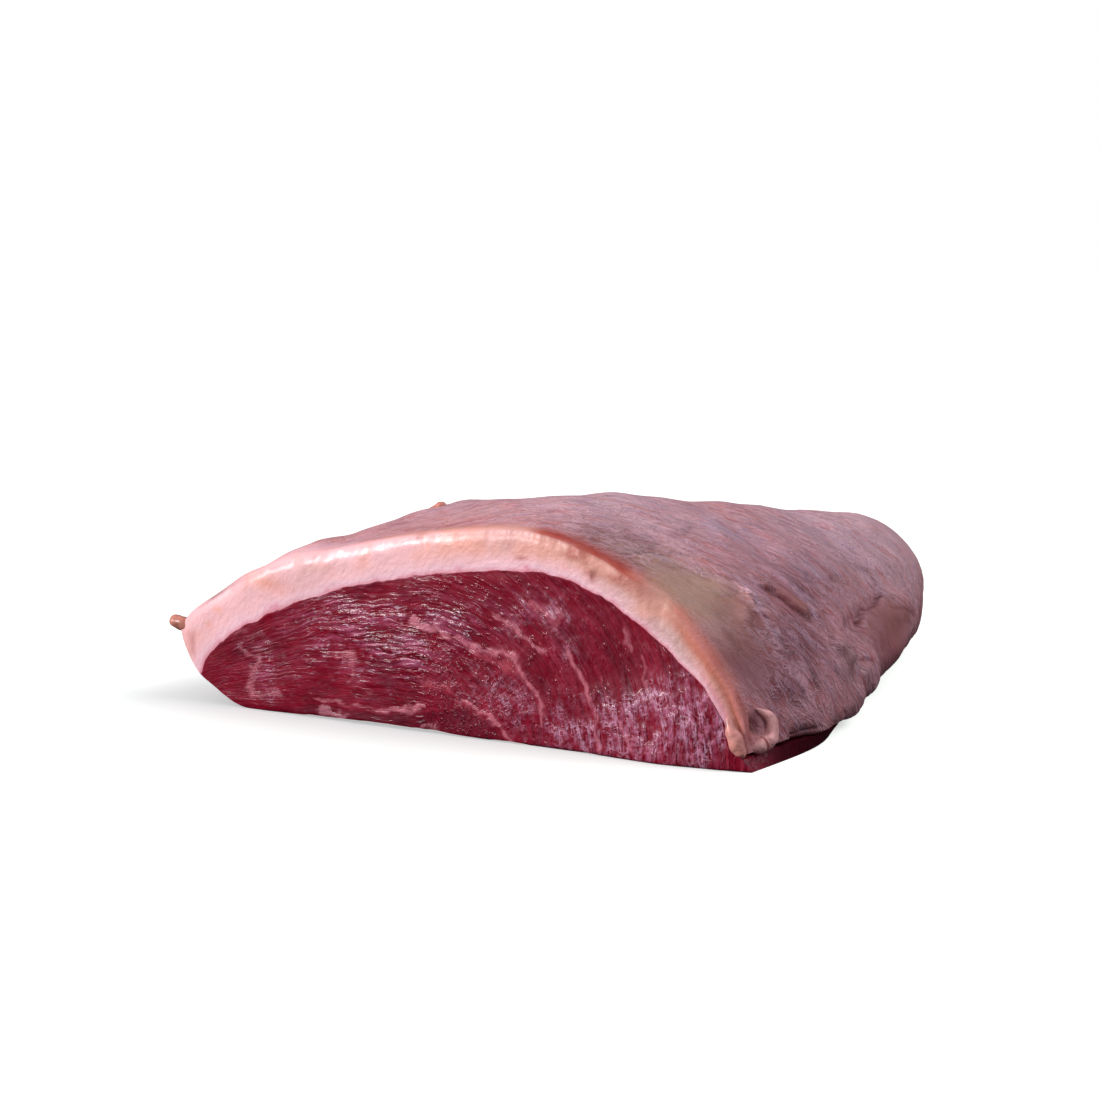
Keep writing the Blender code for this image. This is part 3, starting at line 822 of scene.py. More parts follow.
def leanBase(shares, top, fatEdge):
    # Each section's underside, from the left tip: down the slanted side, flat on the
    # table, up round the foot and in along a shelf to the right tip
    u, m = leanUnder, leanMesh
    taper = tipTaper(shares)[:, None]
    middle = through(shares, leanBeef["crownX"])[:, None]
    leftX = blend(middle, through(shares, u["contactLeft"])[:, None], taper)
    rightX = blend(middle, through(shares, u["contactRight"])[:, None], taper)
    leftTip, rightTip = top[:, :1], top[:, -1:]
    standsOut = ease((u["footEnds"] - shares[:, None]) / u["footFade"])
    footX = blend(rightTip[..., 0], fatEdge[:, None, 0] - u["footInset"], standsOut)
    footZ = blend(rightTip[..., 2], fatEdge[:, None, 2] - u["footDrop"], standsOut)
    down = np.linspace(0, 1, m["slant"] + 1)[None, :-1]
    across = np.linspace(0, 1, m["across"])[None, :]
    rise = np.linspace(0, 1, m["foot"] + 1)[None, 1:]
    inwards = np.linspace(0, 1, m["shelf"] + 1)[None, 1:]
    x = [
        blend(leftTip[..., 0], leftX, down),
        blend(leftX, rightX, across),
        blend(rightX, footX, rise),
        blend(footX, rightTip[..., 0], inwards),
    ]
    z = [
        leftTip[..., 2] * (1 - down) ** u["slantPower"],
        0 * leftX * across,
        footZ * rise,
        blend(footZ, rightTip[..., 2], inwards),
    ]
    x, z = np.concatenate(x, 1), np.concatenate(z, 1)
    behind = leanBeef["length"] * shares[:, None]
    lift = (((x - u["liftX"]) / u["liftWidth"]) ** 2) + (behind / u["liftDepth"]) ** 2
    lift = u["frontLift"] * np.exp(-lift)
    uneven = np.maximum(noise(onCut(x, 0 * x), 12.0, 3, 331), 0)
    lift += u["unevenness"] * uneven * np.exp(-((behind / u["unevenDepth"]) ** 2))
    lift[:, [0, -1]] = 0
    return sectionPoints(shares, leanBeef["length"], x, z + lift)


def pushedForward(points, rise):
    # The cut's relief, times a rise that is nothing at the fat, and the rounding of its
    # lower edge; both fade out within a few millimetres behind the cut
    x, z = points[..., 0], points[..., 2]
    fade = np.exp(-np.maximum(behindCut(points), 0) / 1.5)
    low = np.clip(1 - z / leanUnder["edgeHeight"], 0, 1)
    rounded = leanUnder["edgeRounding"] * (1 - np.sqrt(1 - low**2))
    forward = np.clip(faceRelief(x, z), -2, leanUnder["reliefLimit"]) * rise
    moved = points.copy()
    moved[..., 1] += (rounded - forward) * fade
    moved[..., 1] = np.maximum(moved[..., 1], wholePiece["frontLimit"])
    return moved


def leanPiece(material):
    # The cut face, the dome under the fat and the base, joined at their edges
    m = leanMesh
    columns = m["slant"] + m["across"] + m["foot"] + m["shelf"]
    shares = spreadShares(m["stations"], leanBeef["length"], *m["steps"])
    bends = spreadBends(columns, leanBeef, 1.0, 1.0)
    top = raggedSeam(dome(leanBeef, shares, bends), shares, leanBeef["length"])
    fatEdge = dome(fatCoat, shares, np.array([0.0, 1.0]), fatUnder)[:, -1]
    base = leanBase(shares, top, fatEdge)
    share = np.linspace(0, 1, m["faceRows"] + 1)[:, None, None]
    face = blend(base[0][None], top[0][None], share)
    face[..., 1] = wholePiece["frontY"] - faceBulge(face[..., 0], face[..., 2])
    toFat = np.linalg.norm(face - top[0], axis=-1)
    rise = ease(toFat / 2.5)
    face, top, base = pushedForward(face, rise), pushedForward(top, 0), pushedForward(base, rise[:1])
    parts = []
    for points, turned in ((face, False), (top, False), (base, True)):
        x, z = points[..., 0], points[..., 2]
        behind = np.maximum(behindCut(points), 0)
        vein, red = veinFields(x, z)
        near = np.exp(-behind / 2.5)
        # Painted shade: the base darkens from 3 mm behind the cut, and the cut has a darker strip low down
        under = ramp(behind, 3, 14) if points is base else 0 * behind
        if points is face:
            vein = np.maximum(vein, 0.5 * np.exp(-((toFat / 0.45) ** 2)))
            shadeStripHeight = np.interp(x, *leanShadeStrip)
            under = 0.5 * ease((shadeStripHeight - z) / 1.2)
        fields = {"vein": vein * near, "veinRed": red, "wet": wetField(x, z), "under": under}
        parts.append(grid(points, turned, grain=grainField(x, z, behind), **fields))
    return makePiece("leanMuscle", parts, material, "lean")


class Nodes:
    # Adds nodes to a material or the world; an input is a value or another node's output
    def __init__(self, tree):
        self.tree = tree

    def fill(self, node, inputs):
        for key, value in inputs.items():
            if isinstance(value, bpy.types.NodeSocket):
                self.tree.links.new(value, node.inputs[key])
            else:
                node.inputs[key].default_value = value

    def add(self, kind, inputs, output=0, **settings):
        node = self.tree.nodes.new("ShaderNode" + kind)
        for key, value in settings.items():
            setattr(node, key, value)
        self.fill(node, inputs)
        return node.outputs[output]

    def field(self, name, output="Fac"):
        return self.add("Attribute", {}, output, attribute_name=name)

    def maths(self, operation, first, second=0.0, third=0.0):
        return self.add("Math", {0: first, 1: second, 2: third}, operation=operation)

    def times(self, first, second):
        return self.maths("MULTIPLY", first, second)

    def timesPlus(self, first, second, third):
        return self.maths("MULTIPLY_ADD", first, second, third)

    def most(self, first, second):
        return self.maths("MAXIMUM", first, second)

    def noises(self, table, **vectors):
        # Every noise of a table, in coordinates that are turned, stretched and moved
        made = {}
        for name, (vector, scale, place, detail, roughness, *turn) in table.items():
            spot = vectors[vector]
            if turn:
                spot = self.add("Mapping", {"Vector": spot, "Rotation": (0, 0, *turn)})
            spot = self.add("Mapping", {"Vector": spot, "Scale": scale, "Location": place})
            inputs = {"Vector": spot, "Scale": 1.0, "Detail": detail, "Roughness": roughness}
            made[name] = self.add("TexNoise", inputs, "Fac")
        return SimpleNamespace(**made)

    def between(self, value, low, high, atLow=0.0, atHigh=1.0):
        # Smooth change from atLow to atHigh while the value goes from low to high
        inputs = {"Value": value, "From Min": low, "From Max": high, "To Min": atLow, "To Max": atHigh}
        return self.add("MapRange", inputs, interpolation_type="SMOOTHSTEP")

    def mixed(self, share, first, second):
        return self.add("Mix", {0: share, 2: first, 3: second})

    def painted(self, cover, first, second, blendType="MIX"):
        # The second colour over the first; each is a screen colour or a socket
        sides = [s if isinstance(s, bpy.types.NodeSocket) else (*tone(*s), 1) for s in (first, second)]
        inputs = {"Factor": cover, 6: sides[0], 7: sides[1]}
        return self.add("Mix", inputs, 2, data_type="RGBA", blend_type=blendType)

    def bump(self, height, distance, normal=None, strength=1.0):
        inputs = {"Height": height, "Distance": distance, "Strength": strength}
        if normal:
            inputs["Normal"] = normal
        return self.add("Bump", inputs)

    def ridges(self, height, width):
        # 1 along the lines where a noise crosses its middle, falling to 0 beside them
        beside = self.maths("ABSOLUTE", self.maths("SUBTRACT", height, 0.5))
        return self.between(beside, 0.0, width, 1.0, 0.0)

    def wandering(self, vector, scale, amount):
        # Coordinates pushed about by a soft noise
        push = self.add("TexNoise", {"Vector": vector, "Scale": scale, "Detail": 2.0}, "Color")
        push = self.add("VectorMath", {0: push, 1: (0.5, 0.5, 0.5)}, operation="SUBTRACT")
        push = self.add("VectorMath", {0: push, "Scale": amount}, operation="SCALE")
        return self.add("VectorMath", {0: vector, 1: push}, operation="ADD")


def newMaterial(name):
    material = bpy.data.materials.new(name)
    material.use_nodes = True
    return material, Nodes(material.node_tree), material.node_tree.nodes["Principled BSDF"]


leanLook = {
    "dark": (88, 0, 20),
    "middle": (122, 4, 31),
    "light": (150, 26, 50),
    "vein": (212, 132, 146),
    "redVein": (180, 60, 76),
    # film tones: painted sheen, a lavender haze of reflection where the cut is wet
    "film": (168, 78, 108),
    "netFilm": (190, 112, 142),
    # sheen tones: painted highlights, the short bright lines on the wet cut
    "sheen": (236, 208, 224),
    "netSheen": (214, 166, 190),
    # under: painted shade on the underside and low on the cut
    "under": (56, 6, 22),
    "toRight": (12.0, 34.0),  # from the left's look to the right's, along the fibres
    "wander": (0.10, 3.0),
    "fineShare": 0.18,
    "mottleShare": 0.45,
    "middleRange": (0.38, 0.60),
    "lightRange": (0.54, 0.72, 0.0, 0.8),
    "filmRange": (0.40, 0.70),
    "filmShare": (0.90, 0.60),  # on the left and the right
    "fleckRange": (0.64, 0.76),
    "fleckShare": 0.25,
    "veinPatches": (0.3, 0.6, 0.6, 1.0),
    "veinRange": (0.10, 0.80),
    "veinShare": 0.85,
    # widths of the painted highlight lines
    "levelWidth": 0.030,  # of the bright lines
    "crossWidth": 0.075,
    "uprightWidth": 0.060,
    "brokenRange": (0.42, 0.62),
    "sheenRange": (0.10, 0.75, 0.04, 0.62),
    "underShare": 0.8,
    "roughness": 0.42,
    "roughnessRange": (-0.08, 0.12),
    "wetSwell": (0.80, 0.07),
    "levelSwell": (1.0, 0.4),  # on the left and the right
    "crossSwell": (0.3, 1.0),
    "levelBump": 0.0009,
    "crossBump": 0.0005,
    "beadRange": (0.48, 0.68),
    "beadGaps": (0.42, 0.56),
    "beadsFrom": (-12.0, 8.0),
    "beadBump": 0.00022,
    "fineBump": 0.00008,
    "veinBump": 0.00012,
    "specular": 0.15,
    "coat": 0.30,
    "coatRoughness": 0.15,
    "subsurface": 0.10,
    "subsurfaceRadius": (1.0, 0.2, 0.2),
    "subsurfaceScale": 0.002,
}
leanNoises = {
    # coordinates, stretch, place, detail, roughness
    "fibres": ("wavy", (0.20, 0.85, 0.3), (0, 0, 0), 4, 0.65),
    "fine": ("wavy", (0.3, 2.6, 0.8), (7, 3, 1), 3, 0.55),
    "broad": ("grain", (0.05, 0.08, 0.1), (2, 9, 4), 4, 0.55),
    "film": ("wavy", (0.10, 0.55, 0.2), (5, 5, 5), 4, 0.6),
    "crossFilm": ("wavy", (0.90, 0.60, 0.2), (2, 8, 5), 5, 0.65),
    "flecks": ("wavy", (0.24, 1.0, 0.5), (1, 6, 2), 3, 0.6),
    "patchy": ("grain", (0.3, 0.3, 0.5), (6, 1, 3), 2, 0.55),
    "level": ("wavy", (0.16, 0.90, 0.8), (4, 4, 4), 2, 0.45),
    "cross": ("wavy", (1.30, 0.34, 0.8), (8, 1, 1), 2, 0.5),
    "upright": ("wavy", (0.34, 1.10, 0.8), (3, 9, 1), 2, 0.5),
    "broken": ("grain", (0.30, 0.45, 0.5), (3, 7, 5), 3, 0.6),
    "beads": ("wavy", (0.45, 0.80, 0.8), (4, 2, 9), 2, 0.4),
}


def leanMaterial():
    # Crimson with fine lines along the fibres and soft pale veins; where it is wet, a painted lavender sheen
    # and painted short highlight lines: along the fibres on the left, and on the right a net of lines along
    # and across them; painted shade darkens the underside and a strip low on the cut
    look = SimpleNamespace(**leanLook)
    material, n, shader = newMaterial("wetLean")
    grain, wetness = n.field("grain", "Vector"), n.field("wet")
    along = n.add("SeparateXYZ", {0: grain}, "X")
    right = n.between(along, *look.toRight)
    t = n.noises(leanNoises, grain=grain, wavy=n.wandering(grain, *look.wander))
    mottled = n.timesPlus(t.fibres, look.mottleShare, n.times(t.broad, look.mottleShare))
    mottled = n.timesPlus(t.fine, look.fineShare, mottled)
    colour = n.painted(n.between(mottled, *look.middleRange), look.dark, look.middle)
    colour = n.painted(n.between(mottled, *look.lightRange), colour, look.light)
    # Painted sheen: a lavender haze of reflection over the wet places
    sheenPools = n.times(wetness, n.between(right, 0.0, 1.0, *look.filmShare))
    film = n.times(n.between(n.mixed(right, t.film, t.crossFilm), *look.filmRange), sheenPools)
    colour = n.painted(film, colour, n.painted(right, look.film, look.netFilm))
    flecks = n.times(n.between(t.flecks, *look.fleckRange), look.fleckShare)
    vein = n.times(n.field("vein"), n.between(t.patchy, *look.veinPatches))
    ragged = n.maths("ADD", vein, n.times(n.timesPlus(t.fine, 1.0, -0.5), vein))
    mask = n.most(n.times(n.between(ragged, *look.veinRange), look.veinShare), flecks)
    colour = n.painted(mask, colour, n.painted(n.field("veinRed"), look.vein, look.redVein))
    # Painted highlights: short bright lines along the fibres on the left, and a net of them on the right,
    # where the cut is wet
    glintNet = n.most(n.ridges(t.cross, look.crossWidth), n.ridges(t.upright, look.uprightWidth))
    glintLines = n.mixed(right, n.ridges(t.level, look.levelWidth), glintNet)
    sheen = n.times(glintLines, n.between(t.broken, *look.brokenRange))
    sheen = n.times(sheen, n.between(wetness, *look.sheenRange))
    colour = n.painted(sheen, colour, n.painted(right, look.sheen, look.netSheen))
    # Painted shade on the underside and in the strip low on the cut
    colour = n.painted(n.times(n.field("under"), look.underShare), colour, look.under)
    swell = n.timesPlus(wetness, *look.wetSwell)
    onLeft = n.times(swell, n.between(right, 0.0, 1.0, *look.levelSwell))
    onRight = n.times(swell, n.between(right, 0.0, 1.0, *look.crossSwell))
    beads = n.times(n.between(t.beads, *look.beadRange), n.between(t.broken, *look.beadGaps))
    beads = n.times(beads, n.between(along, *look.beadsFrom))
    normal = n.bump(n.times(t.level, onLeft), look.levelBump)
    normal = n.bump(n.times(t.cross, onRight), look.crossBump, normal)
    for height, depth in ((beads, look.beadBump), (t.fine, look.fineBump), (mask, look.veinBump)):
        normal = n.bump(height, depth, normal)
    rough = (look.roughness + change for change in look.roughnessRange)
    inputs = {
        "Base Color": colour,
        "Roughness": n.between(t.fine, 0.3, 0.8, *rough),
        "Normal": normal,
        "Coat Normal": normal,
        "Specular IOR Level": look.specular,
        "Coat Weight": look.coat,
        "Coat Roughness": look.coatRoughness,
        "Subsurface Weight": look.subsurface,
        "Subsurface Radius": look.subsurfaceRadius,
        "Subsurface Scale": look.subsurfaceScale,
    }
    n.fill(shader, inputs)
    return material


fatTones = {
    "cutPink": (240, 190, 190),
    "cutInner": (234, 192, 199),
    "cutCream": (226, 174, 164),
    "cutPeach": (236, 168, 148),
    "cutRight": (194, 158, 150),
    "cutLow": (224, 152, 160),
    "edgeOrange": (160, 56, 38),
    "beige": (164, 128, 110),
    "yellow": (178, 146, 122),
    "membrane": (194, 134, 136),
    "lavender": (214, 182, 184),
    "rose": (202, 130, 120),
    "mauve": (130, 74, 80),
    "brown": (124, 66, 56),
    "rollBrown": (158, 98, 84),
    "grey": (160, 132, 134),
    "pale": (226, 190, 206),
    # dark: painted shade in hollows, cracks and a pit
    "dark": (92, 34, 36),
    "tag": (190, 124, 106),
    "curl": (222, 164, 158),
    "blob": (206, 140, 128),
    "seam": (214, 130, 144),
    # wet: painted highlight of the cut's wet edge
    "wet": (255, 238, 232),
    "edgePeach": (204, 148, 128),
    "orange": (196, 104, 78),
    "veil": (196, 170, 184),
    "edgeTan": (168, 116, 88),
    # crease: painted shade in the valleys of the membrane's streaks
    "creaseShade": (112, 54, 56),
    "warm": (250, 216, 210),
    "cool": (228, 234, 252),
}
fatDabs = (
    # centre, radii, tone, amount; on the outer side
    ((-20, 0, 50), (70, 120, 30), "lavender", 0.45),
    ((55, 40, 40), (30, 50, 24), "lavender", 0.7),
    ((-30, -88, 52), (56, 24, 14), "rose", 0.45),
    ((-50, -97, 43), (26, 6, 12), "cutPink", 0.8),
    ((-15, -94, 53), (26, 6, 6), "rose", 0.75),
    ((-8, -80, 56), (18, 9, 6), "cutCream", 0.35),
    ((12, -94, 56), (16, 7, 6), "rose", 0.55),
    ((35, -60, 55), (26, 50, 14), "lavender", 0.4),
    ((40, -89, 53), (16, 13, 8), "brown", 0.8),
    ((52, -90, 47), (20, 14, 12), "beige", 0.9),
    ((52, -95, 47), (12, 5, 7), "brown", 0.55),
    ((61, -96, 41), (10, 4, 7), "edgeTan", 0.7),
    ((66, -86, 40), (14, 15, 11), "yellow", 0.9),
    ((73, -79, 36), (7, 9, 8), "brown", 0.55),
    ((77, -90, 28), (8, 12, 9), "brown", 0.95),
    ((83, -85, 20), (7, 12, 9), "mauve", 0.95),
    ((84, -95, 9), (6, 7, 8), "rose", 0.5),
    ((87, -82, 8), (5, 12, 5), "mauve", 0.8),
    ((74, 0, 18), (10, 26, 9), "brown", 0.85),
    ((73.5, 22, 22), (6, 12, 5), "rollBrown", 0.8),
    ((80, -5, 8), (10, 30, 6), "mauve", 0.7),
    ((86, -40, 18), (5, 12, 7), "grey", 0.7),
    ((72, -46, 37), (11, 14, 9), "mauve", 0.85),
    ((70, -30, 36), (10, 22, 10), "mauve", 0.45),
    ((82, -66, 26), (9, 15, 11), "mauve", 0.9),
    ((89, -66, 12), (6, 16, 9), "membrane", 0.5),
    ((35, -15, 53), (18, 12, 8), "rose", 0.4),
    ((47, -36, 50), (10, 12, 7), "veil", 0.6),
    ((64, -22, 39), (7, 10, 6), "veil", 0.5),
    ((60, 14, 37), (10, 14, 7), "mauve", 0.25),
    ((13, -50, 59), (20, 26, 8), "lavender", 0.5),
    ((-80, -60, 26), (24, 60, 16), "rose", 0.4),
)
fatStripes = (
    # path, width, tone, amount; along folds and the cut's edge
    (((-25, -98.8, 51.5), (-2, -98.8, 54.5), (14, -98.8, 55.5), (26, -98.8, 54.8)), 2.2, "edgePeach", 0.8),
    (((27, -98.6, 54.6), (37, -98.4, 52), (45, -98.4, 49), (52, -99.2, 45.5)), 3.8, "edgeOrange", 0.95),
    (((52, -98.4, 45.5), (59, -98.6, 41.5), (65, -98.8, 37)), 2, "cutPeach", 0.45),
    (
        ((65, -98.6, 37), (70, -98.6, 33), (75, -98.8, 27.5), (79, -98.8, 22), (82.5, -99.2, 15)),
        *(2.4, "orange", 0.7),
    ),
    # painted shadow, in an orange-brown tone, beside the blob on the cut's lower right
    (((81.5, -99.2, 17), (83.2, -99.2, 12), (84.4, -99.4, 8)), 1.3, "edgeOrange", 0.8),
    (((67.9, -57.6, 39.7), (73, -53.2, 35.8), (78.3, -50.4, 30.8)), 1.9, "rollBrown", 0.8),
    (ridgePath, 1, "pale", 0.5),
    (((65.3, -66.8, 42.5), (70.2, -70.1, 39.7), (75, -73.3, 35.2), (81.1, -74.9, 28)), 0.9, "pale", 0.75),
    (
        ((71.9, -75.8, 37.2), (74.3, -77, 35), (75.4, -79, 33.3), (76.2, -82.6, 31), (76.6, -86.4, 29)),
        *(1, "rollBrown", 0.9),
    ),
    (((85.7, -48.3, 23.2), (87.4, -45, 20)), 1.8, "grey", 0.8),
    (nickPath, 1.3, "rollBrown", 0.6),
    (((-89, -99, 26), (-80, -98.5, 33), (-70, -97.5, 38.5), (-62, -96.5, 41.5)), 0.9, "seam", 0.5),
)
fatShadeCracks = (
    # path, width, darkness of the painted shade along a groove or crack; drawn over the threads
    (((85.2, -96, 11.6), (85.3, -96.4, 10.2)), 1.7, 0.9),
    (((69.9, -57.3, 36.8), (73.6, -54.6, 33.9), (76.9, -52.2, 30.8), (78.8, -51.3, 29.6)), 0.6, 0.9),
    (((75.8, -16.5, 22.4), (73.6, -8.4, 25), (73.3, 1.2, 24.4), (70.1, 11.9, 25.5)), 1, 0.9),
    (((86.7, -40.7, 18.4), (84.3, -30, 16.4), (85.2, -26, 14.8)), 0.9, 0.8),
    (((81.5, -44.5, 26.3), (84.3, -47.2, 24.4), (85.7, -39.9, 20.4)), 0.7, 0.6),
    (toePath, 1, 0.8),
    (nickPath, 0.7, 0.5),
)
cutSpots = (
    # place on the cut (X, Z), radii, tone, amount
    (-77, 26.5, 1.8, 1, "cutPeach", 0.8),
    (-80.5, 22, 1.2, 1, "cutPeach", 0.7),
    (-86.5, 16.5, 1.2, 2.4, "edgeOrange", 0.4),
    (-61, 35.5, 7, 2.2, "cutPeach", 0.8),
    (-44, 41, 6, 1.6, "cutCream", 0.6),
    (-10, 50.4, 1.6, 1, "edgeOrange", 0.7),
    (2, 51, 9, 1.8, "cutPeach", 0.7),
    (21, 48, 2, 0.7, "edgeOrange", 0.6),
    (28, 51, 7, 2.4, "cutPeach", 0.7),
    (42, 46.3, 2.4, 1.6, "edgeOrange", 0.7),
    # painted shade in the pit at the cut's edge
    (42, 46.3, 0.9, 0.8, "dark", 0.8),
    (58, 38, 4, 2.5, "cutPeach", 0.6),
)


def tinted(tint, name, cover):
    # The tint with one of the fat's tones over it
    return blend(tint, tone(*fatTones[name]), np.asarray(cover)[..., None])


def outerTint(points):
    # The outer side's tones, a membrane tone with soft dabs of others over it, and the darkness of the
    # painted shade along its cracks and grooves
    bent = points + 3.0 * noiseVector(points, 11.0, 3, 131)
    frayed = points + 0.8 * noiseVector(points, 3.5, 3, 281)
    tint = np.broadcast_to(tone(*fatTones["membrane"]), points.shape).copy()
    tint = tinted(tint, "rose", 0.35 * ease(0.5 + 0.9 * noise(points, 10.0, 3, 161)))
    for centre, radii, name, amount in fatDabs:
        tint = tinted(tint, name, amount * np.exp(-(reachFrom(bent, centre, radii) ** 3)))
    for path, width, name, amount in fatStripes:
        tint = tinted(tint, name, amount * nearPath(frayed, path, width))
    crackShade = np.zeros(points.shape[:-1])
    for path, width, darkness in fatShadeCracks:
        crackShade = np.maximum(crackShade, darkness * nearPath(frayed, path, width))
    return tint, crackShade


def cutTint(points, share):
    # The cut's tones from its inner edge (share 0) to its outer edge (share 1)
    x = points[..., 0]
    share = share + 0.10 * noise(points, 6.0, 3, 171)
    tint = np.broadcast_to(tone(*fatTones["cutPink"]), points.shape).copy()
    crown = np.exp(-(((x - 22) / 24) ** 2)) * ramp(share, 0.25, 0.35)
    tint = tinted(tint, "cutCream", crown)
    right = ramp(x, 30, 40)
    tint = tinted(tint, "cutRight", 0.9 * right)
    tint = tinted(tint, "cutLow", ramp(x, 66, 14))
    patches = ease(noise(points, 15.0, 3, 181) * 1.8 - 0.15) * ramp(share, 0.3, 0.3)
    tint = tinted(tint, "cutPeach", 0.55 * patches)
    for centreX, centreZ, width, height, name, amount in cutSpots:
        away = ((x - centreX) / width) ** 2 + ((points[..., 2] - centreZ) / height) ** 2
        spread = away * (1 + 0.8 * noise(points, 2.5, 2, 341))
        tint = tinted(tint, name, amount * np.exp(-np.maximum(spread, 0)))
    tint = tinted(tint, "cutInner", ease((0.34 - share) / 0.2) * blend(1.0, 0.6, right))
    outer = ramp(share, 0.45, 0.3) * ramp(x, 22, 12)
    tint = tinted(tint, "edgePeach", 0.7 * outer)
    orange = ramp(share, 0.60, 0.30) * (0.12 + 0.75 * np.exp(-(((x - 38) / 15) ** 2)))
    orange = orange * ramp(x, -25, 40) * ease(0.7 + 1.2 * noise(points, 12.0, 3, 311))
    tint = tinted(tint, "edgeOrange", orange)
    low = ramp(share, 0.62, 0.3) * ramp(x, 58, 12)
    tint = tinted(tint, "orange", 0.6 * low)
    return tinted(tint, "seam", 0.9 * ease((0.13 - share) / 0.15))


def edgeWetness(points):
    # How wet the cut's outer edge is: on the left only, with dry places; a painted highlight line and a
    # glossier coat follow it
    x = points[..., 0]
    strength = ease((12 - x) / 30) * ramp(x, -82, 12)
    return strength * ease(0.8 + 1.5 * noise(points, 9.0, 3, 271))


def coatPiece(material):
    # The outer side, the end at the cut, the rims at the left and right, the inner side
    # on the lean's dome, and the strands
    m, e = fatMesh, fatEdges
    shares = spreadShares(m["rows"], fatCoat["length"], *m["steps"])
    bends = spreadBends(m["columns"], fatCoat, *m["bendSteps"], fatUnder)
    outer = dome(fatCoat, shares, bends, fatUnder)
    behind = shares[:, None] * fatCoat["length"] + 0 * outer[..., 0]
    aside, back = gridDistance(outer, 1), gridDistance(outer, 0)
    crown = np.argmax(outer[m["rows"] // 3, :, 2])
    aside -= aside[:, crown : crown + 1]
    flow = turnedFlow(aside, back)
    outer = outer + outward(outer) * coatRelief(outer)[..., None]
    away = outward(outer)
    calm = smoothSpots(outer)
    detail = coatDetail(outer, away, flow, behind, calm)
    tint, crackShade = outerTint(outer)
    outer = outer + away * (detail - e["inset"])[..., None]
    outer[..., 2] = np.clip(outer[..., 2], e["lowest"], wholePiece["heightLimit"])
    outer[..., 0] = limited(outer[..., 0], wholePiece["sideLimit"])
    outer[-1] = outer[-1].mean(0)
    flatEdge = outer[0].copy()
    outer[..., 1] += cutRounding(outer, behind)
    inner = raggedSeam(dome(leanBeef, shares, bends), shares, leanBeef["length"])
    inner[..., 2] = np.maximum(inner[..., 2], e["lowest"])
    taper = tipTaper(shares)[:, None]
    steps = m["rimSteps"]
    leftRim = rimGrid(outer[:, 0], inner[:, 0], e["leftRim"] * taper, steps)
    rightRim = rimGrid(outer[:, -1], inner[:, -1], -e["rightRim"] * taper, steps)
    share = rimShares(steps)
    cutEnd = blend(flatEdge[None], inner[0][None], share)
    fromEdge = np.linalg.norm(cutEnd - flatEdge, axis=-1)
    cutEnd[..., 1] += cutRounding(cutEnd, fromEdge) * (1 - share[..., 0]) ** 0.5
    waver = noise(cutEnd, 7.0, 4, 221) * np.sin(math.pi * share[..., 0])
    cutEnd[..., 1] -= e["cutRelief"] * waver
    cutEnd[0] = outer[0]
    nearLeft = np.clip(1 - np.arange(m["columns"]) / m["rimColumns"], 0, 1)[None, :, None]
    nearRight = nearLeft[:, ::-1]
    cutEnd = cutEnd + (leftRim[:, 0] - cutEnd[:, 0])[:, None] * nearLeft
    cutEnd = cutEnd + (rightRim[:, 0] - cutEnd[:, -1])[:, None] * nearRight
    acrossCut = 1 - share[..., 0] + 0 * cutEnd[..., 0]
    endTint = cutTint(cutEnd, acrossCut)
    edgeMix = ease(behind / blend(2.5, 0.8, ramp(outer[..., 0], 5, 25)))[..., None]
    tint = blend(endTint[:1], tint, edgeMix)
    # Painted shade: dark where the fine relief dips and along the cracks
    hollow = np.maximum(np.clip(-detail / 2.2, 0, 1), crackShade)
    skin = ramp(behind, 1.0, 5.0) * (1 - fatRelief["calm"] * calm)
    farBack, farLeft = ramp(behind, 125, 50), ease((-30 - outer[..., 0]) / 30)
    skin *= 1 - e["skinFade"] * np.maximum(farBack, farLeft)
    wet, endWet = edgeWetness(outer), edgeWetness(cutEnd)
    onLeft = np.linalg.norm(leftRim - leftRim[:1], axis=-1)
    onRight = np.linalg.norm(rightRim - rightRim[:1], axis=-1)
    leftFlow = turnedFlow(aside[:, 0] - onLeft, back[:, 0] + 0 * onLeft)
    rightFlow = turnedFlow(aside[:, -1] + onRight, back[:, -1] + 0 * onRight)
    parts = [
        grid(outer, tint=tint, hollow=hollow, skin=skin, wet=wet, flow=flow, edge=-behind),
        grid(cutEnd, True, tint=endTint, wet=endWet, flow=turnedFlow(aside[:1], -fromEdge), edge=fromEdge),
        grid(leftRim, False, tint=tint[:, 0][None] + 0 * leftRim, flow=leftFlow),
        grid(rightRim, True, tint=tint[:, -1][None] + 0 * rightRim, flow=rightFlow),
        grid(thinned(inner, m["innerStep"]), True, tint=tone(*fatTones["seam"]) + 0 * inner, flow=flow),
    ]
    for path, radii, name in fatStrands:
        strand = strandGrid(path, radii)
        strandMottle = 1 + 0.35 * noise(strand, 2.0, 3, 261)[..., None]
        parts.append(grid(strand, True, tint=tone(*fatTones[name]) * strandMottle, gloss=1.0, flow=strand))
    return makePiece("fatCoat", parts, material, "fat_cap")


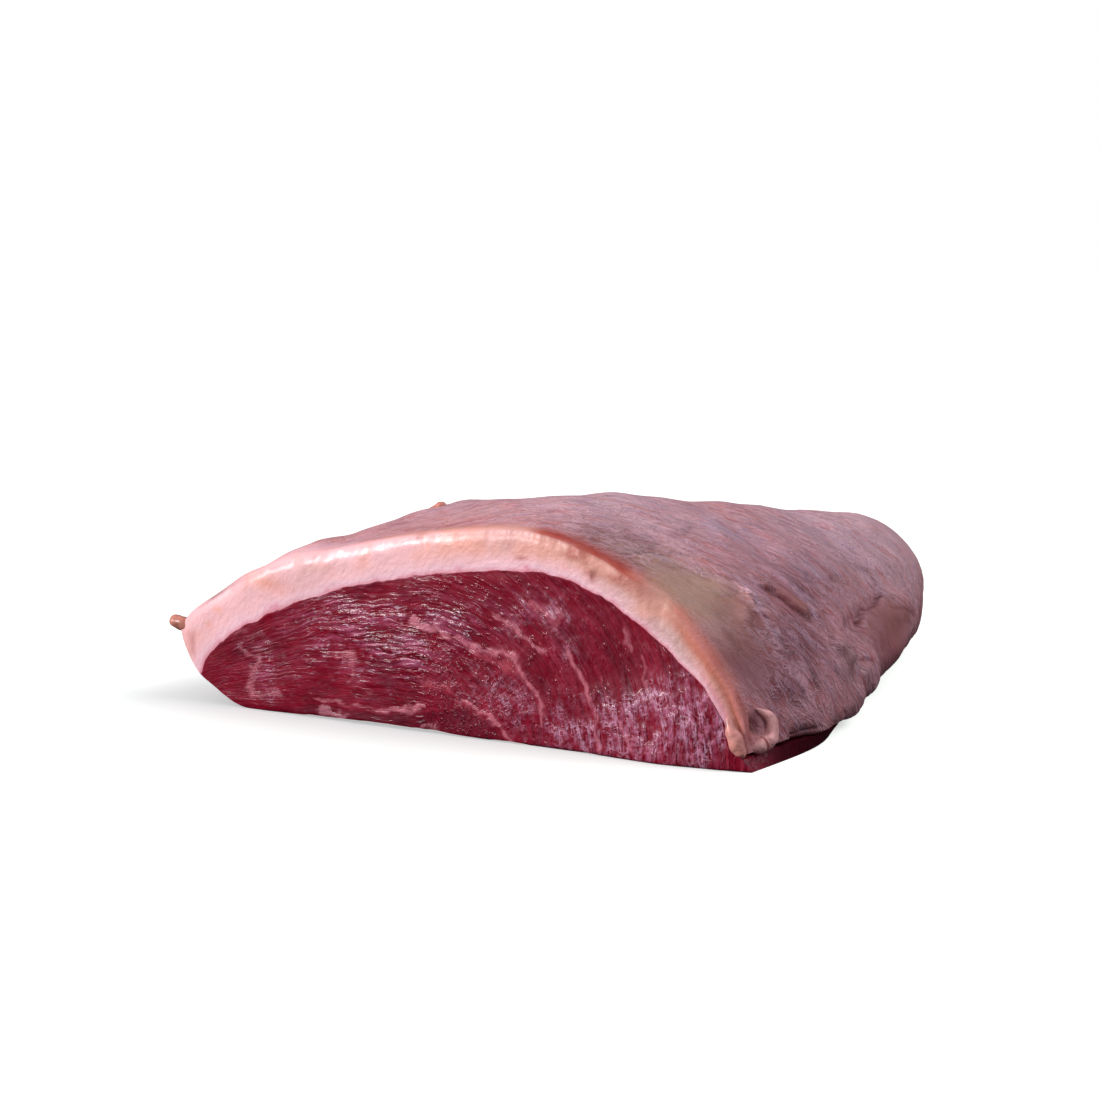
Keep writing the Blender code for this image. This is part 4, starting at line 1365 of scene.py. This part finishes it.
fatLook = {
    "wander": (0.08, 9.0),
    "risingWidth": 0.055,  # of the threads
    "fallingWidth": 0.045,
    "hairWidth": 0.08,
    "hairShare": 0.30,
    "streakRange": (0.48, 0.68),
    "paleShare": 0.38,
    "warmRange": (0.48, 0.64),
    "warmShare": (0.75, 0.12),  # on the membrane, and everywhere
    "coolRange": (0.50, 0.66),
    "coolShare": 0.8,
    "creaseRange": (0.47, 0.32),
    "creaseShare": 0.32,
    "hollowShare": 0.8,
    "wetWaver": 3.4,
    "wetPlace": 2.6,
    "wetWidth": 1.2,
    "wetShare": 0.62,
    "roughness": 0.46,
    "roughnessRange": (-0.08, 0.1),
    "streakBump": 0.0007,
    "streakStrength": 0.8,
    "threadBump": 0.00028,
    "lumpBump": 0.0010,
    "lumpStrength": (0.55, 0.10),  # on the membrane, and everywhere
    "dimpleBump": 0.00025,
    "specular": 0.25,
    "coat": 0.05,
    "wetCoat": 0.25,
    "coatRoughness": 0.22,
}
fatNoises = {
    # coordinates, stretch, place, detail, roughness, turn
    "streaks": ("wavy", (0.11, 0.42, 0.3), (0, 0, 0), 3.5, 0.58),
    "rising": ("wavy", (0.045, 0.20, 0.3), (3, 8, 2), 4, 0.6, 0.38),
    "falling": ("wavy", (0.045, 0.24, 0.3), (1, 5, 6), 4, 0.6, -0.35),
    "hairs": ("wavy", (0.10, 0.85, 0.3), (7, 1, 4), 3, 0.55, 0.12),
    "blotch": ("flow", (0.10, 0.15, 0.2), (9, 2, 2), 4, 0.6),
    "cool": ("wavy", (0.12, 0.20, 0.2), (4, 7, 1), 4, 0.6),
    "jagged": ("flow", (0.22, 0.22, 0.22), (8, 3, 3), 6, 0.7),
    "lumpy": ("flow", (0.30, 0.42, 0.5), (2, 2, 7), 5, 0.6),
    "dimples": ("flow", (0.45, 0.8, 0.8), (5, 2, 7), 3, 0.5),
}


def fatMaterial():
    # The tint with rosy blotches, pale threads of membrane that wander and cross, and painted shade in
    # creases, hollows and cracks; the cut is plain, and a painted highlight line runs along its wet edge,
    # where the coat is glossier too
    look, tones = SimpleNamespace(**fatLook), fatTones
    material, n, shader = newMaterial("beefFat")
    flow, skin = n.field("flow", "Vector"), n.field("skin")
    t = n.noises(fatNoises, flow=flow, wavy=n.wandering(flow, *look.wander))
    threads = n.most(n.ridges(t.rising, look.risingWidth), n.ridges(t.falling, look.fallingWidth))
    threads = n.most(threads, n.times(n.ridges(t.hairs, look.hairWidth), look.hairShare))
    paleness = n.times(n.between(t.streaks, *look.streakRange), look.paleShare)
    paleness = n.times(n.most(paleness, n.times(threads, look.paleShare)), skin)
    warmth = n.times(n.between(t.blotch, *look.warmRange), n.timesPlus(skin, *look.warmShare))
    coolness = n.times(n.between(t.cool, *look.coolRange), n.times(skin, look.coolShare))
    # Painted shade: dark red in the valleys of the streaks, which the bump below lowers
    creaseShadeMask = n.times(n.between(t.streaks, *look.creaseRange), n.times(skin, look.creaseShare))
    colour = n.painted(warmth, n.field("tint", "Color"), tones["warm"], "MULTIPLY")
    colour = n.painted(coolness, colour, tones["cool"], "MULTIPLY")
    colour = n.painted(paleness, colour, tones["pale"])
    colour = n.painted(creaseShadeMask, colour, tones["creaseShade"])
    # Painted shade: dark in the relief's hollows and along the cracks
    colour = n.painted(n.times(n.field("hollow"), look.hollowShare), colour, tones["dark"])
    # Painted highlight: a jagged pale line along the wet outer edge of the cut
    place = n.maths("SUBTRACT", n.field("edge"), look.wetPlace)
    wetHighlightLine = n.maths("ABSOLUTE", n.timesPlus(t.jagged, look.wetWaver, place))
    wet = n.times(n.between(wetHighlightLine, 0.0, look.wetWidth, 1.0, 0.0), n.field("wet"))
    colour = n.painted(n.times(wet, look.wetShare), colour, tones["wet"])
    normal = n.bump(t.streaks, look.streakBump, strength=n.times(skin, look.streakStrength))
    normal = n.bump(n.times(threads, skin), look.threadBump, normal)
    normal = n.bump(t.lumpy, look.lumpBump, normal, n.timesPlus(skin, *look.lumpStrength))
    normal = n.bump(t.dimples, look.dimpleBump, normal)
    rough = (look.roughness + change for change in look.roughnessRange)
    gloss = n.most(wet, n.field("gloss"))
    inputs = {
        "Base Color": colour,
        "Roughness": n.between(t.blotch, 0.3, 0.7, *rough),
        "Normal": normal,
        "Coat Weight": n.timesPlus(gloss, look.wetCoat, look.coat),
        "Coat Roughness": look.coatRoughness,
        "Specular IOR Level": look.specular,
    }
    n.fill(shader, inputs)
    return material


studio = {
    "floorSize": 6.0,
    "floorGlow": 0.485,
    "floorTone": (0.77, 0.84, 0.75),
    "fillTone": (0.92, 0.86, 1.0),
    "fillStrength": 0.50,
    "fillHeights": (-0.15, 0.25),  # below the first the fill is at its lowest
    "lowFill": 0.10,  # share of the fill that comes from below the horizon
    "mirrored": 0.25,  # share of the fill that shows in glossy surfaces
}
suns = {
    # where the light comes from, tone, strength, spread in degrees
    "keyLight": ((-0.55, -0.72, 0.44), (1.0, 0.96, 0.99), 3.3, 16.0),
    "backLight": ((0.75, 0.40, 0.85), (0.96, 0.92, 1.0), 1.15, 50.0),
    "sideLight": ((0.90, 0.30, 0.62), (1, 1, 1), 1.5, 40.0),
}
view = {
    "place": (0.3605, -0.6632, 0.1450),  # metres
    "down": 8.2,  # degrees
    "turn": 30.517,
    "lens": 85,
    "sensor": 36,
}


def makeFloor():
    size = studio["floorSize"] / 2
    corners = [(-size, -size, 0), (size, -size, 0), (size, size, 0), (-size, size, 0)]
    mesh = bpy.data.meshes.new("floor")
    mesh.from_pydata(corners, [], [(0, 1, 2, 3)])
    floor = placed("floor", mesh)
    material, n, shader = newMaterial("paleFloor")
    inputs = {
        "Base Color": (*studio["floorTone"], 1),
        "Roughness": 1.0,
        "Specular IOR Level": 0.0,
        "Emission Color": (1, 1, 1, 1),
        "Emission Strength": studio["floorGlow"],
    }
    n.fill(shader, inputs)
    mesh.materials.append(material)
    floor.visible_diffuse = False
    floor.visible_glossy = False
    return floor


def makeWorld():
    # White where the camera sees it; as light a dim lavender from above
    world = bpy.data.worlds.new("studio")
    bpy.context.scene.world = world
    world.use_nodes = True
    world.node_tree.nodes.clear()
    n = Nodes(world.node_tree)
    height = n.add("SeparateXYZ", {0: n.add("TexCoord", {}, "Generated")}, "Z")
    strength = n.between(height, *studio["fillHeights"], studio["lowFill"], 1.0)
    strength = n.times(strength, studio["fillStrength"])
    mirror = n.add("LightPath", {}, "Is Glossy Ray")
    strength = n.times(strength, n.between(mirror, 0.0, 1.0, 1.0, studio["mirrored"]))
    fill = n.add("Background", {"Color": (*studio["fillTone"], 1), "Strength": strength})
    white = n.add("Background", {"Color": (1, 1, 1, 1), "Strength": 1.0})
    seen = n.add("LightPath", {}, "Is Camera Ray")
    mix = n.add("MixShader", {0: seen, 1: fill, 2: white})
    n.fill(n.tree.nodes.new("ShaderNodeOutputWorld"), {"Surface": mix})


def makeSun(name, lit=()):
    # A distant lamp that shines from a direction; its spread softens the shadows, and
    # it may light some pieces alone
    (x, y, z), colour, strength, spread = suns[name]
    lamp = bpy.data.lights.new(name, "SUN")
    lamp.color = colour
    lamp.energy = strength
    lamp.angle = math.radians(spread)
    sun = placed(name, lamp)
    sun.rotation_euler = (math.atan2(math.hypot(x, y), z), 0, math.atan2(x, -y))
    if lit:
        receivers = bpy.data.collections.new(name)
        for piece in lit:
            receivers.objects.link(piece)
        sun.light_linking.receiver_collection = receivers


def makeCamera():
    lens = bpy.data.cameras.new("camera")
    lens.lens = view["lens"]
    lens.sensor_width = view["sensor"]
    camera = placed("camera", lens)
    camera.location = view["place"]
    camera.rotation_euler = (math.radians(90 - view["down"]), 0, math.radians(view["turn"]))
    bpy.context.scene.camera = camera


print("lean")
muscle = leanPiece(leanMaterial())
print("fat")
coat = coatPiece(fatMaterial())
print("studio")
floor = makeFloor()
makeWorld()
makeSun("keyLight", (muscle, coat))
makeSun("backLight")
makeSun("sideLight", (floor,))  # for the soft shadow on the left
makeCamera()
bpy.context.scene.view_settings.view_transform = "Standard"
